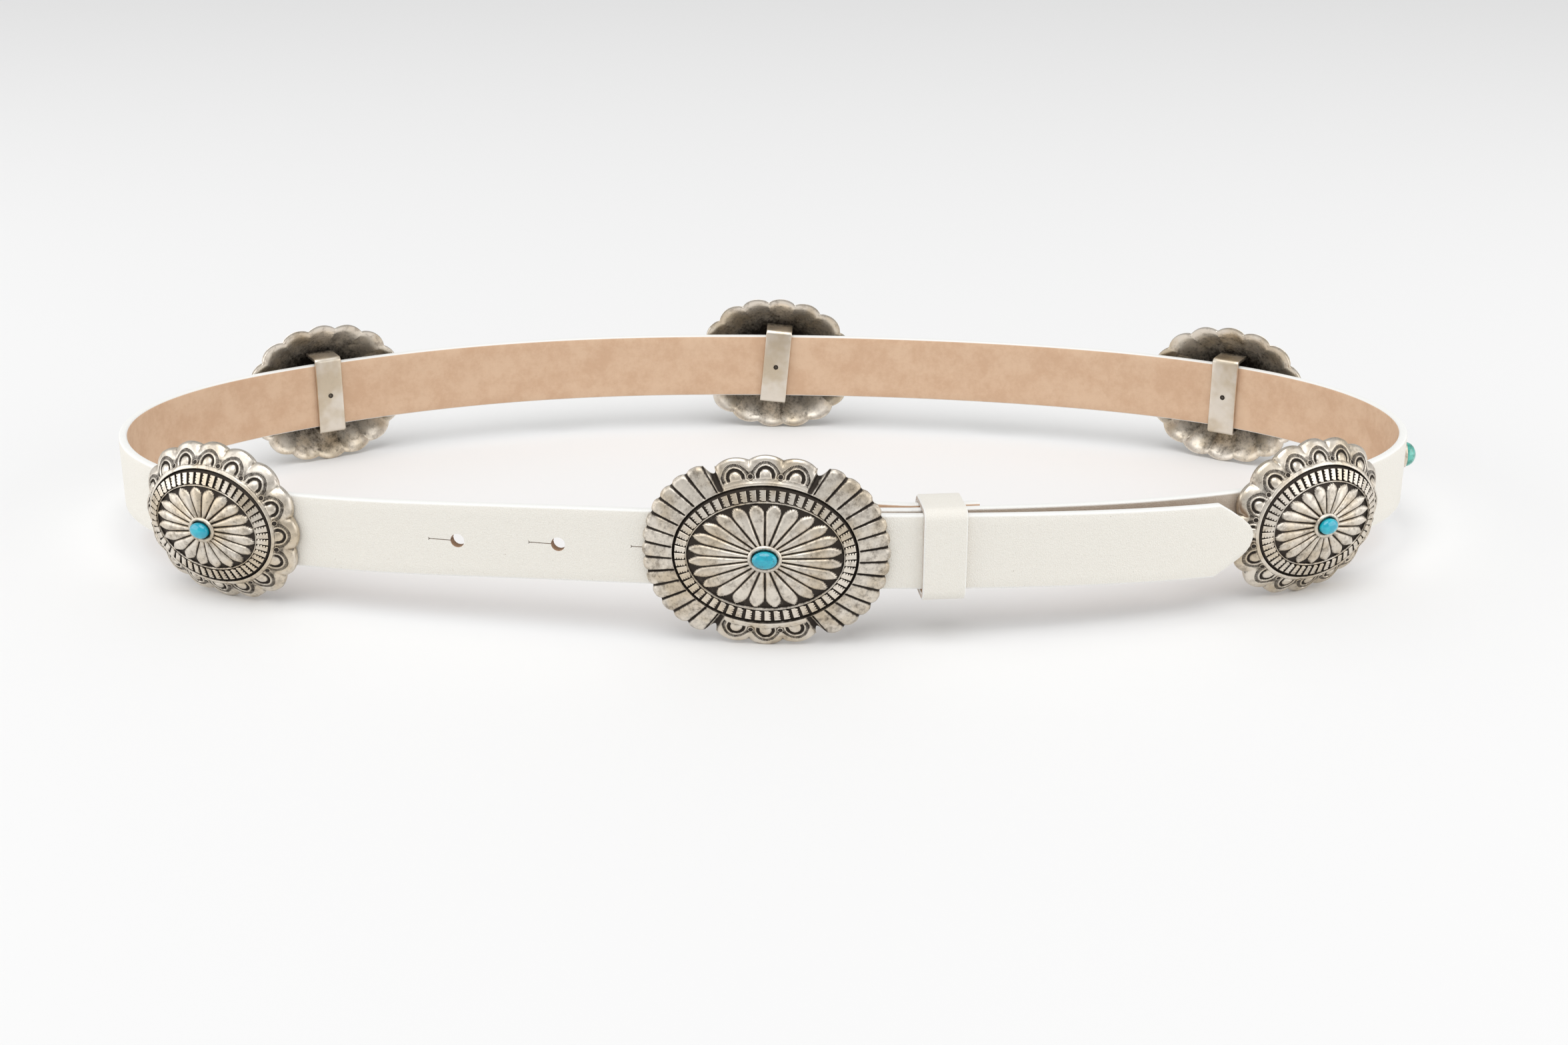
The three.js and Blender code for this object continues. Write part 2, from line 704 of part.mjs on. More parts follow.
function makeRivet() {
  const { frame, from, to } = rivetPlace();
  const sunk = RIVET_HEAD_THICK / 2;
  const shank = post(RIVET_THICK, from - sunk, to + sunk, 0, 0, SMALL_ROUND_SIDES);
  const outer = post(RIVET_HEAD, from - RIVET_HEAD_THICK, from, 0, 0);
  const inner = post(RIVET_HEAD, to, to + RIVET_HEAD_THICK, 0, 0);
  return groupAt(frame, meshOf('fold_rivet', shank.add(outer).add(inner), silver));
}

// A round-cornered rectangle with its top and bottom at the given heights, as a closed path.
function roundedBox(path, left, right, bottom, top, radius) {
  path.moveTo(left + radius, bottom);
  path.lineTo(right - radius, bottom);
  path.absarc(right - radius, bottom + radius, radius, -Math.PI / 2, 0, false);
  path.lineTo(right, top - radius);
  path.absarc(right - radius, top - radius, radius, 0, Math.PI / 2, false);
  path.lineTo(left + radius, top);
  path.absarc(left + radius, top - radius, radius, Math.PI / 2, Math.PI, false);
  path.lineTo(left, bottom + radius);
  path.absarc(left + radius, bottom + radius, radius, Math.PI, 1.5 * Math.PI, false);
  return path;
}

function makeKeeper() {
  const frame = frameOn(KEEPER_AT, false);
  const half = KEEPER_WIDTH / 2;
  const nearest = Math.max(...strapDepths(frame, KEEPER_AT, false, 1, 0, half)) + FIT_GAP;
  const deepest = foldInset(KEEPER_AT + half) + STRAP_THICK / 2 + localDepth(frame, KEEPER_AT + half);
  const top = STRAP_WIDTH / 2 + FIT_GAP;
  const bottom = -STRAP_WIDTH / 2 - KEEPER_SLACK;
  const inner = KEEPER_CORNER - KEEPER_THICK;
  const outline = roundedBox(
    new THREE.Shape(),
    -nearest - KEEPER_THICK,
    deepest + FIT_GAP + KEEPER_THICK,
    bottom - KEEPER_THICK,
    top + KEEPER_THICK,
    KEEPER_CORNER,
  );
  outline.holes.push(roundedBox(new THREE.Path(), -nearest, deepest + FIT_GAP, bottom, top, inner));
  const ring = new THREE.ExtrudeGeometry(outline, {
    depth: KEEPER_WIDTH,
    bevelEnabled: false,
    curveSegments: KEEPER_CORNER_SEGMENTS,
  });
  const turned = new THREE.Matrix4().makeBasis(
    new THREE.Vector3(0, 1, 0),
    new THREE.Vector3(0, 0, 1),
    new THREE.Vector3(1, 0, 0),
  );
  ring.applyMatrix4(turned).translate(-half, 0, 0);
  return groupAt(frame, meshOf('keeper', solidFrom(ring), leather));
}

// A cabochon stud: a shallow metal cup on the strap's outer face with a round stone in it.
function makeStud(name, along) {
  const frame = frameOn(along, along < GIRTH / 2);
  const seat = STRAP_THICK / 2 + FIT_GAP;
  const cup = post(STUD.base, -seat - STUD.baseThick, -seat, 0, 0);
  const bore = STUD.stone + 2 * FIT_GAP;
  const floor = seat + STUD.baseThick - STUD.cup;
  const hollow = post(bore, -floor - 2 * STUD.cup, -floor, 0, 0);
  const stone = cabochon(`${name}_stone`, STUD.stone, STUD.stone, STUD.cup, STUD.dome, greenTurquoise);
  stone.position.set(0, -floor - FIT_GAP, 0);
  return groupAt(frame, meshOf(name, cup.subtract(hollow), silver), stone);
}

// Conchos stand at equal distances from the first on the right round to the last on the left.
// Studs stand midway between them. One of each has slid a little to one side.
const CONCHOS = [
  { name: 'front_right', shift: 0 },
  { name: 'back_right', shift: 0 },
  { name: 'back_middle', shift: 0 },
  { name: 'back_left', shift: 0 },
  { name: 'front_left', shift: -LEFT_CONCHO_SLIP },
];
const STUDS = [
  { name: 'right', shift: 0 },
  { name: 'back_right', shift: 0 },
  { name: 'back_left', shift: 0 },
  { name: 'left', shift: -LEFT_STUD_SLIP },
];
const CONCHO_PITCH = (GIRTH - BUCKLE_TO_RIGHT - BUCKLE_TO_LEFT) / (CONCHOS.length - 1);

const belt = new THREE.Group();
belt.add(makeStrap(), makeKeeper(), makeRivet(), makeBuckle());
CONCHOS.forEach(({ name, shift }, i) => {
  belt.add(makeConcho(`concho_${name}`, BUCKLE_TO_RIGHT + i * CONCHO_PITCH + shift));
});
STUDS.forEach(({ name, shift }, i) => {
  belt.add(makeStud(`stud_${name}`, BUCKLE_TO_RIGHT + (i + 0.5) * CONCHO_PITCH + shift));
});

// The origin is under the middle of the whole belt.
const bounds = new THREE.Box3().setFromObject(belt, true);
const middle = bounds.getCenter(new THREE.Vector3());
belt.position.set(-middle.x, -middle.y, -bounds.min.z);

export default belt;
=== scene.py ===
# %% [markdown]
# ## The belt that comes in
# The model is a concho belt: a narrow white leather strap, buckled into a loop that stands on its
# edge, with cast silver ovals and turquoise stones on it. The engineering model arrives as a frame
# of plain solids. Each of them is dressed here with a piece that has the real surface, and every
# size that the two share is either read from the frame or repeated in millimetres.

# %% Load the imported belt
import math

import bmesh
import bpy
import numpy as np
from mathutils import Matrix, Vector


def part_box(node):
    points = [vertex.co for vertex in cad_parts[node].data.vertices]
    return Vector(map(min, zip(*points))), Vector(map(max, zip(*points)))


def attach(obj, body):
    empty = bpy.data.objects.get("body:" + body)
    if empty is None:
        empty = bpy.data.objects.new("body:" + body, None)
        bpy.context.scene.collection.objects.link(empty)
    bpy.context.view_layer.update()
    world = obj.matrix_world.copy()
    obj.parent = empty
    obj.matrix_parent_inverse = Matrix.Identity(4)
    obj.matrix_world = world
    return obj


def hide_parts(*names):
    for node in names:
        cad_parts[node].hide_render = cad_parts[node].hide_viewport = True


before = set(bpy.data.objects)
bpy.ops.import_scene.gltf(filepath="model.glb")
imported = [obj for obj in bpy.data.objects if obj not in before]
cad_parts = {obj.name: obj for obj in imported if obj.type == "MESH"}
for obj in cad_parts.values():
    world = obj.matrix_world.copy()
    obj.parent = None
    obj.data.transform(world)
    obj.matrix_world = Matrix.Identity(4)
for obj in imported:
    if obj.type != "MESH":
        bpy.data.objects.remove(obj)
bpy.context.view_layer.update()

MM = 0.001
print("nodes in the frame:", len(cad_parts))

# %% [markdown]
# ## The way that the strap goes
# A belt has no natural centre to draw from. What describes it is how sharply it bends at each
# place, so the loop is walked: at every small step the heading turns by the bend there. A drawn
# curve would need many more points and would still have flat spots. Places are distances along
# the strap from the middle of the buckle, to the right.

# %% Sizes of the strap
GIRTH = 1113.0
STRAP_WIDTH = 25.4
STRAP_THICK = 3.0
TIP_LENGTH = 13.0
TAIL_GAP = 7.9
FOLD_GAP = 1.5
MERGE_LENGTH = 189.0
FIT_GAP = 0.3
BUCKLE_TO_RIGHT = 192.0
BUCKLE_TO_LEFT = 185.0
TAIL_SHORT_OF_CONCHO = 29.6
TAIL_REACH = BUCKLE_TO_RIGHT - TAIL_SHORT_OF_CONCHO
ROUTE_STEPS = 1200

# Share of the girth, and how sharply it bends there, in turns of a circle of that girth.
BENDS = [
    (0, 0.6), (0.08, 0.3), (0.155, 0.65), (0.205, 2), (0.25, 3.2), (0.32, 1.1), (0.41, 0.38),
    (0.5, 0.28), (0.59, 0.62), (0.68, 0.64), (0.75, 3.35), (0.795, 2.4), (0.845, 0.8),
    (0.92, -0.06), (1, 0.6),
]
# Share of the way to the right concho, and the room under the tail as a share of the widest.
TAIL_GAPS = [(0, 0.22), (0.24, 0.23), (0.36, 0.42), (0.6, 0.66), (0.92, 1)]
# The tail's point: shares of its length and of the half width.
TIP = [(0, 1), (0.06, 0.965), (0.38, 0.76), (0.69, 0.53), (0.86, 0.38), (0.95, 0.24), (1, 0.08)]


def along_table(table, at):
    """The second column of a table, at a place in its first."""
    return np.interp(at, [row[0] for row in table], [row[1] for row in table])


def smooth(share):
    t = np.clip(share, 0, 1)
    return t * t * (3 - 2 * t)


# %% Walk round the loop
def walk_route():
    share = np.linspace(0, 1, ROUTE_STEPS + 1)
    bend = along_table(BENDS, share)
    turn = (bend[1:] + bend[:-1]) / 2
    turn *= 2 * math.pi / turn.sum()
    heading = np.concatenate([[0], np.cumsum(turn)])
    middle = (heading[1:] + heading[:-1]) / 2
    steps = np.stack([np.cos(middle), np.sin(middle)], 1) * GIRTH / ROUTE_STEPS
    line = np.vstack([[0, 0], np.cumsum(steps, 0)])
    return line - share[:, None] * line[-1], heading


ROUTE, HEADING = walk_route()


def beside_route(along, out):
    """Points beside the route, `out` millimetres outward from it."""
    steps = np.asarray(along, float) / GIRTH % 1 * ROUTE_STEPS
    ticks = np.arange(ROUTE_STEPS + 1)
    heading = np.interp(steps, ticks, HEADING)
    x = np.interp(steps, ticks, ROUTE[:, 0]) + out * np.sin(heading)
    y = np.interp(steps, ticks, ROUTE[:, 1]) - out * np.cos(heading)
    return np.stack([x, y], -1)


def under_tail(along):
    """How far inside the tail's line the strap lies where it runs under the tail."""
    apart = STRAP_THICK + TAIL_GAP * along_table(TAIL_GAPS, np.asarray(along) / BUCKLE_TO_RIGHT)
    return apart * (1 - smooth((np.asarray(along) - BUCKLE_TO_RIGHT) / MERGE_LENGTH))


def middle_height(along):
    """The strap's middle rises from the conchos' height to the buckle's."""
    place = np.asarray(along, float) % GIRTH
    away = np.where(place < GIRTH / 2, place / BUCKLE_TO_RIGHT, (GIRTH - place) / BUCKLE_TO_LEFT)
    share = 0.5 + 0.5 * np.cos(math.pi * np.minimum(away, 1))
    return CONCHO_DROP + (BUCKLE_DROP - CONCHO_DROP) * share


def box_size(node):
    low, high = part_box(node)
    return (high - low) / MM


CONCHO_DROP = box_size("concho_back_middle").z / 2
BUCKLE_DROP = box_size("buckle").z / 2
print("route closes, lowest middle", round(CONCHO_DROP, 2), "highest", round(BUCKLE_DROP, 2))

# %% [markdown]
# ## The fold and the stations
# The strap's far end passes round a bar behind the buckle and comes back on itself, closed by a
# rivet. So the strap is one line with three stretches: the folded end, the turn round the bar, and
# the whole loop up to the tail's point. Each station is a place along the strap and how far out of
# the route it lies there.

# %% Stations of the strap's middle line
BAR_INSET = 12.6
BAR_THICK = 3.2
KEEPER_FROM_BUCKLE = 10.0
KEEPER_WIDTH = 14.0
FOLD_PAST_KEEPER = 6.0
BUCKLE_LENGTH = 79.2
STATION_STEP = 1.6
TURN_STEPS = 14

BAR_AT = BUCKLE_LENGTH / 2 - BAR_INSET
KEEPER_START = BUCKLE_LENGTH / 2 + KEEPER_FROM_BUCKLE
KEEPER_AT = KEEPER_START + KEEPER_WIDTH / 2
FOLD_END = KEEPER_START + KEEPER_WIDTH + FOLD_PAST_KEEPER
RIVET_AT = (BAR_AT + KEEPER_START) / 2
FOLD_RADIUS = BAR_THICK / 2 + FIT_GAP + STRAP_THICK / 2


def fold_inset(along):
    """The fold's inner layer: wide at the bar, close to the strap from the keeper on."""
    closing = smooth((np.asarray(along) - BAR_AT) / (KEEPER_START - BAR_AT))
    wide = 2 * FOLD_RADIUS
    return under_tail(along) + wide + (STRAP_THICK + FOLD_GAP - wide) * closing


def strap_stations():
    fold = np.linspace(FOLD_END, BAR_AT, int((FOLD_END - BAR_AT) / STATION_STEP), endpoint=False)
    turn = np.linspace(0, math.pi, TURN_STEPS, endpoint=False)
    tip_start = GIRTH + TAIL_REACH - TIP_LENGTH
    loop = np.linspace(BAR_AT, tip_start, int((tip_start - BAR_AT) / STATION_STEP), endpoint=False)
    tip = np.array([row[0] for row in TIP])
    along = [fold, BAR_AT - FOLD_RADIUS * np.sin(turn), loop, tip_start + tip * TIP_LENGTH]
    round_bar = -under_tail(BAR_AT) - FOLD_RADIUS - FOLD_RADIUS * np.cos(turn)
    on_loop = np.where(loop < GIRTH, -under_tail(loop), 0)
    out = [-fold_inset(fold), round_bar, on_loop, np.zeros(len(TIP))]
    half = [np.ones(len(fold) + TURN_STEPS + len(loop)), [row[1] for row in TIP]]
    return np.concatenate(along), np.concatenate(out), np.concatenate(half)


STATION_AT, STATION_OUT, STATION_HALF = strap_stations()
STRAP_LINE = beside_route(STATION_AT, STATION_OUT)
STRAP_LOW, STRAP_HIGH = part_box("strap")
SHIFT = np.array([
    (STRAP_LOW.x + STRAP_HIGH.x) / 2 / MM - (STRAP_LINE[:, 0].min() + STRAP_LINE[:, 0].max()) / 2,
    (STRAP_LOW.y + STRAP_HIGH.y) / 2 / MM - (STRAP_LINE[:, 1].min() + STRAP_LINE[:, 1].max()) / 2,
])
print("stations:", len(STATION_AT), "the route's start in the frame, mm:", SHIFT.round(2))


class Seat:
    """A frame on the strap: x along it, y inward, z up, with its origin on the strap's middle."""

    def __init__(self, along, under):
        def line(place):
            return beside_route(place, -under_tail(place) if under else 0.0)

        ahead = line(along + 1) - line(along - 1)
        self.along = along
        self.under = under
        self.ahead = ahead / np.linalg.norm(ahead)
        self.inward = np.array([-self.ahead[1], self.ahead[0]])
        self.here = line(along)

    def depth_of(self, point):
        return (np.asarray(point) - self.here) @ self.inward

    def strap_depths(self, side, start, end):
        """Depths of one face of the strap over a stretch to either side of this place."""
        reach = np.linspace(start, end, 9)
        place = self.along + np.concatenate([-reach, reach])
        out = (-under_tail(place) if self.under else 0) + side * STRAP_THICK / 2
        return self.depth_of(beside_route(place, out))

    def matrix(self):
        origin = (*((self.here + SHIFT) * MM), float(middle_height(self.along)) * MM)
        turn = Matrix.Rotation(math.atan2(self.ahead[1], self.ahead[0]), 4, "Z")
        return Matrix.Translation(origin) @ turn @ Matrix.Scale(MM, 4)

    def outward(self, distance):
        """The same frame, moved this far out from the strap's middle."""
        return self.matrix() @ Matrix.Translation((0, -distance, 0))


# %% [markdown]
# ## A camera where the photographer stood
# The picture was taken with a normal lens from a little above the table. The camera is placed from
# the buckle, because everything else was measured from there: how far back it stands, how far to
# the side, how high, and which way it is turned. It keeps no shift and no blur.

# %% Camera
CAMERA_BACK = 642.7
CAMERA_ASIDE = 37.5
CAMERA_HEIGHT = 289.6
CAMERA_TURN = math.radians(2.84)
CAMERA_DOWN = math.radians(21.08)
CAMERA_ROLL = math.radians(0.22)
LENS = 50
SENSOR = 36


def in_scene(name, data):
    """An object that holds this data, in the scene."""
    thing = bpy.data.objects.new(name, data)
    bpy.context.scene.collection.objects.link(thing)
    return thing


def make_camera():
    level = Vector((math.cos(CAMERA_TURN), math.sin(CAMERA_TURN), 0))
    ahead = Vector((-math.sin(CAMERA_TURN), math.cos(CAMERA_TURN), 0)) * math.cos(CAMERA_DOWN)
    ahead.z = -math.sin(CAMERA_DOWN)
    above = level.cross(ahead)
    right = level * math.cos(CAMERA_ROLL) + above * math.sin(CAMERA_ROLL)
    up = right.cross(ahead)
    place = ((SHIFT[0] + CAMERA_ASIDE) * MM, (SHIFT[1] - CAMERA_BACK) * MM, CAMERA_HEIGHT * MM)
    data = bpy.data.cameras.new("camera")
    data.lens = LENS
    data.sensor_width = SENSOR
    camera = in_scene("camera", data)
    camera.matrix_world = Matrix.Translation(place) @ Matrix((right, up, -ahead)).transposed().to_4x4()
    bpy.context.scene.camera = camera
    return camera


print("camera at", tuple(round(c, 3) for c in make_camera().location))

# %% [markdown]
# ## Node trees written as sums
# Shader and geometry trees are both made of small steps, and drawing them by hand hides what they
# work out. Here one class wraps a tree and another wraps a socket. Adding or multiplying two
# wrapped sockets puts down the Math node for it, so a pattern reads like the formula that it is.

# %% Wires and boards
class Wire:
    """One socket of a node tree. Python's operators on it add Math nodes."""

    def __init__(self, board, socket):
        self.board = board
        self.socket = socket

    def maths(self, operation, *others):
        values = dict(enumerate((self, *others)))
        return self.board.add("ShaderNodeMath", {"operation": operation}, values)

    def __add__(self, other):
        return self.maths("ADD", other)

    def __sub__(self, other):
        return self.maths("SUBTRACT", other)

    def __mul__(self, other):
        return self.maths("MULTIPLY", other)

    def __truediv__(self, other):
        return self.maths("DIVIDE", other)

    def __rsub__(self, other):
        return self.board.add("ShaderNodeMath", {"operation": "SUBTRACT"}, {0: other, 1: self})

    def __rtruediv__(self, other):
        return self.board.add("ShaderNodeMath", {"operation": "DIVIDE"}, {0: other, 1: self})

    __radd__ = __add__
    __rmul__ = __mul__

    def between(self, low, high):
        """0 below low, 1 above high, and smooth in between."""
        return self.board.add(
            "ShaderNodeMapRange", {"interpolation_type": "SMOOTHSTEP"}, {0: self, 1: low, 2: high}
        )

    def limited(self):
        return self.board.add("ShaderNodeClamp", {}, {0: self})


class Board:
    """A node tree, with one method that adds any node."""

    def __init__(self, tree):
        self.tree = tree
        tree.nodes.clear()

    def add(self, kind, settings=None, values=None, out=0):
        node = self.tree.nodes.new(kind)
        for name, value in (settings or {}).items():
            setattr(node, name, value)
        for key, value in (values or {}).items():
            if isinstance(value, Wire):
                self.tree.links.new(value.socket, node.inputs[key])
            else:
                node.inputs[key].default_value = value
        if not node.outputs:
            return node
        return Wire(self, node.outputs[out])

    def value(self, name):
        return self.add("ShaderNodeAttribute", {"attribute_name": name}, out=2)

    def noise(self, scale, detail=3.0, roughness=0.55):
        place = self.add("ShaderNodeTexCoord", out=3)
        values = {"Vector": place, "Scale": scale, "Detail": detail, "Roughness": roughness}
        return self.add("ShaderNodeTexNoise", {}, values)

    def mixed(self, share, first, second):
        return self.add("ShaderNodeMix", {"data_type": "RGBA"}, {0: share, 6: first, 7: second}, out=2)

    def bump(self, height, strength, depth):
        values = {"Height": height, "Strength": strength, "Distance": depth}
        return self.add("ShaderNodeBump", {}, values)


def colour(red, green, blue):
    """A screen colour from 0 to 255, as the linear colour that a shader works with."""
    shares = [value / 255 for value in (red, green, blue)]
    linear = [s / 12.92 if s < 0.04045 else ((s + 0.055) / 1.055) ** 2.4 for s in shares]
    return (*linear, 1)


def new_material(name, fixed):
    """A material, its board and its shader; `fixed` holds what is the same all over."""
    material = bpy.data.materials.new(name)
    material.use_nodes = True
    board = Board(material.node_tree)
    shader = board.add("ShaderNodeBsdfPrincipled", {}, fixed)
    board.add("ShaderNodeOutputMaterial", {}, {"Surface": shader})
    return material, board, shader.socket.node


def feed(board, shader, **wires):
    """Links wires to a shader; a wire's name is its input's, with _ for a space."""
    for name, wire in wires.items():
        board.tree.links.new(wire.socket, shader.inputs[name.replace("_", " ")])
    print(len(board.tree.nodes), "nodes for", ", ".join(wires))


# %% [markdown]
# ## Leather
# The belt is split cowhide with a white coat: a matt, faintly pebbled grain outside, coated edges,
# and the tan flesh side inside, where the fibres show as soft mottling. They are one strap, so they
# are one material, and four numbers stored on the mesh tell them apart: side runs from -1 on the
# flesh to 1 on the grain, rim is 1 along the edges, cut marks bare cuts such as the holes' walls,
# and the fourth marks the stretch behind the tail, whose grain is painted tan-grey: painted shade of
# the tail, with the tan of the tail's flesh side as a painted reflection.

# %% White leather with a tan flesh side
GRAIN_WHITE = colour(235, 232, 224)
GRAIN_SHADE = colour(228, 223, 213)
EDGE_WHITE = colour(241, 241, 238)
FLESH_LIGHT = colour(220, 189, 160)
FLESH_DARK = colour(208, 173, 143)
CUT_BROWN = colour(168, 136, 108)
# Painted shade of the tail on the grain behind it, warmed by a painted reflection of the tail's tan flesh
# side.
TAIL_SHADOW_TAN = colour(172, 156, 138)
SPECK = colour(150, 138, 120)


def leather_material(name):
    material, board, shader = new_material(name, {"Specular IOR Level": 0.35})
    side = board.value("side")
    cut = board.value("cut")
    rim = board.value("rim")
    tail_shadow = board.value("tail_shadow")
    clouds = board.noise(90, 3)
    fibres = board.noise(420, 4, 0.7)
    pebble = board.add("ShaderNodeTexVoronoi", {"feature": "F1"}, {
        "Vector": board.add("ShaderNodeTexCoord", out=3), "Scale": 2300,
    })
    dust = board.noise(4200, 2, 0.7)
    specks = board.noise(1500, 1, 0.4).between(0.76, 0.8) * board.noise(60, 1).between(0.5, 0.62)
    grain = board.mixed(dust.between(0.42, 0.66), GRAIN_WHITE, GRAIN_SHADE)
    grain = board.mixed(specks * 0.5, grain, SPECK)
    # Behind the tail the grain gets painted shade, tinted tan as a painted reflection of the tail's flesh
    # side.
    under = tail_shadow * side.between(0.8, 0.95) * (0.6 + fibres * 0.4)
    grain = board.mixed(under, grain, TAIL_SHADOW_TAN)
    grain = board.mixed(rim.between(0.93, 0.985), grain, EDGE_WHITE)
    flesh_mix = (clouds * 0.6 + fibres * 0.4).between(0.36, 0.66)
    flesh = board.mixed(flesh_mix, FLESH_LIGHT, FLESH_DARK)
    is_flesh = (0 - side).between(0.86, 0.97)
    skin = board.mixed(is_flesh, grain, flesh)
    skin = board.mixed(cut, skin, CUT_BROWN)
    rough = 0.55 + is_flesh * 0.33 + dust * 0.05
    height = pebble * (1 - is_flesh) + fibres * (0.5 + is_flesh * 0.9)
    feed(board, shader, Base_Color=skin, Roughness=rough, Normal=board.bump(height, 0.5, 0.0002))
    return material


WHITE_LEATHER = leather_material("white leather")

# %% [markdown]
# ## Antiqued silver
# Cast silver is darkened all over and then polished, so the high places are bright and the
# recesses keep the black. A number on the mesh called shade says how deep a point lies, from 0 on
# the crests to 1 in the grooves. Fine mottling breaks up both, as hand polishing does. The little
# ticks round each crescent are too fine for the mesh, so they are drawn from the crescent's own
# angle and radius, which the mesh carries too.

# %% Antiqued silver
SILVER_BRIGHT = colour(229, 221, 209)
SILVER_WARM = colour(209, 195, 173)
SILVER_GREY = colour(134, 122, 108)
OXIDE = colour(66, 60, 55)
TICKS_PER_TURN = 62


def silver_material(name):
    material, board, shader = new_material(name, {"Metallic": 1.0})
    shade = board.value("shade")
    tick_way = board.value("tick_way")
    tick_mask = board.value("tick_mask")
    mottle = board.noise(330, 5, 0.68)
    stain = board.noise(70, 3, 0.6)
    fine = board.noise(1900, 2, 0.6)
    ticks = tick_mask * (tick_way * TICKS_PER_TURN).maths("SINE").between(-0.25, 0.5)
    speck = board.noise(800, 3, 0.7)
    polish = board.mixed(stain.between(0.4, 0.66), SILVER_BRIGHT, SILVER_WARM)
    worn = mottle.between(0.49, 0.7) * 0.5 + speck.between(0.55, 0.7) * stain.between(0.38, 0.6) * 0.4
    polish = board.mixed(worn.limited() * shade.between(-0.5, 0.0), polish, SILVER_GREY)
    grain = (mottle - 0.5) * 0.6 + (speck - 0.5) * 0.7
    depth = (shade + ticks * 0.7 + grain * shade.between(0.02, 0.5)).limited()
    skin = board.mixed(depth.between(0.18, 0.85), polish, OXIDE)
    rough = 0.36 + depth * 0.25 + mottle.between(0.45, 0.75) * 0.12
    height = mottle * 0.5 + fine * 0.35 - ticks
    feed(board, shader, Base_Color=skin, Roughness=rough, Normal=board.bump(height, 0.4, 0.0002))
    return material


ANTIQUE_SILVER = silver_material("antique silver")

# %% [markdown]
# ## Turquoise
# The stones are polished turquoise: an even sky blue with a few dark threads of the host rock on
# the conchos, and a greener, more clouded stone on the small studs. One noise clouds the colour.
# The threads are the thin edge where a second noise passes its middle, and a third one keeps them
# to patches.

# %% Two kinds of turquoise
BLUE_STONE = (colour(24, 186, 202), colour(14, 158, 184), colour(48, 60, 58))
GREEN_STONE = (colour(96, 186, 172), colour(52, 143, 128), colour(92, 74, 52))


def turquoise_material(name, colours, thread_width, cloud_scale):
    fixed = {"Roughness": 0.12, "IOR": 1.6, "Coat Weight": 0.4}
    material, board, shader = new_material(name, fixed)
    light, dark, thread = colours
    clouds = board.noise(cloud_scale, 4, 0.6)
    vein = board.noise(230, 3, 0.7)
    line = 1 - (vein - 0.5).maths("ABSOLUTE").between(0.0, thread_width)
    patch = board.noise(150, 1).between(0.5, 0.64)
    skin = board.mixed(clouds.between(0.38, 0.64), light, dark)
    skin = board.mixed(line * patch * 0.8, skin, thread)
    feed(board, shader, Base_Color=skin)
    return material


BLUE_TURQUOISE = turquoise_material("blue turquoise", BLUE_STONE, 0.012, 260)
GREEN_TURQUOISE = turquoise_material("green turquoise", GREEN_STONE, 0.03, 420)

# %% [markdown]
# ## Helpers for meshes
# A piece is worked out in numpy as points and faces, then handed to Blender once. Its object stays
# at the origin and its place goes into the mesh, which keeps the patterns where they are when the
# piece moves.

# %% Mesh helpers
def store(mesh, key, values, domain="POINT"):
    """Keeps a number for every point or face of a mesh."""
    attribute = mesh.attributes.get(key) or mesh.attributes.new(key, "FLOAT", domain)
    attribute.data.foreach_set("value", np.asarray(values, np.float32))


def new_object(name, points, faces, numbers=None):
    mesh = bpy.data.meshes.new(name)
    mesh.from_pydata([tuple(map(float, p)) for p in points], [], [tuple(map(int, f)) for f in faces])
    for key, values in (numbers or {}).items():
        store(mesh, key, values)
    return in_scene(name, mesh)


def ring_faces(count, rings, start=0, flipped=False):
    """The faces between rings of as many points each, numbered one ring after another."""
    i = np.arange(count)
    j = (i + 1) % count
    faces = []
    for ring in range(rings - 1):
        a = start + ring * count
        corners = [a + i, a + count + i, a + count + j, a + j]
        if flipped:
            corners = [corners[0], *corners[:0:-1]]
        faces += np.stack(corners, 1).tolist()
    return faces


def move_points(mesh, rule):
    """Puts every point of a mesh where a rule of its x, y and z says."""
    for vertex in mesh.vertices:
        vertex.co = rule(*vertex.co)


def face_outward(mesh):
    work = bmesh.new()
    work.from_mesh(mesh)
    bmesh.ops.recalc_face_normals(work, faces=work.faces)
    if work.calc_volume(signed=True) < 0:
        bmesh.ops.reverse_faces(work, faces=work.faces)
    work.to_mesh(mesh)
    work.free()


def smooth_skin(mesh, sharp_from=None):
    """Faces outward and looks smooth, with edges kept that bend more than some degrees."""
    face_outward(mesh)
    mesh.shade_smooth()
    if sharp_from:
        mesh.set_sharp_from_angle(angle=math.radians(sharp_from))


def drop(*objects):
    for piece in objects:
        mesh = piece.data
        bpy.data.objects.remove(piece)
        bpy.data.meshes.remove(mesh)


def evaluated(piece):
    """The mesh that a piece's modifiers make."""
    graph = bpy.context.evaluated_depsgraph_get()
    graph.update()
    return bpy.data.meshes.new_from_object(piece.evaluated_get(graph))


def finish_piece(piece, material, slot, *nodes):
    """Gives a piece its material, hangs it under the root, and hides the frame's parts that it stands for.
    """
    piece.data.materials.clear()
    piece.data.materials.append(material)
    piece.data.update()
    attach(piece, "root")
    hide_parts(*nodes)
    print(piece.name, "faces:", len(piece.data.polygons))


def settle(mesh, name, matrix):
    """A copy of a mesh, placed for good in the frame."""
    copy = mesh.copy()
    copy.name = name
    copy.transform(matrix)
    return in_scene(name, copy)


# %% [markdown]
# ## Sweeping a section along a line
# The strap, the keeper, the bails behind the conchos and the rims round the stones all are one
# section carried along a line. Curve to Mesh does that. The line and the section are two little
# meshes of edges, and the curve's normals are kept upright, so a section's x points outward and
# its y points up. Where the tail narrows, the tree pulls each ring towards the line's own height
# by a number that travels along from the line's points.

# %% The sweep tree
def add_input(tree, name, kind, value=None):
    socket = tree.interface.new_socket(name, in_out="INPUT", socket_type=kind)
    if value is not None:
        socket.default_value = value
    return socket.identifier


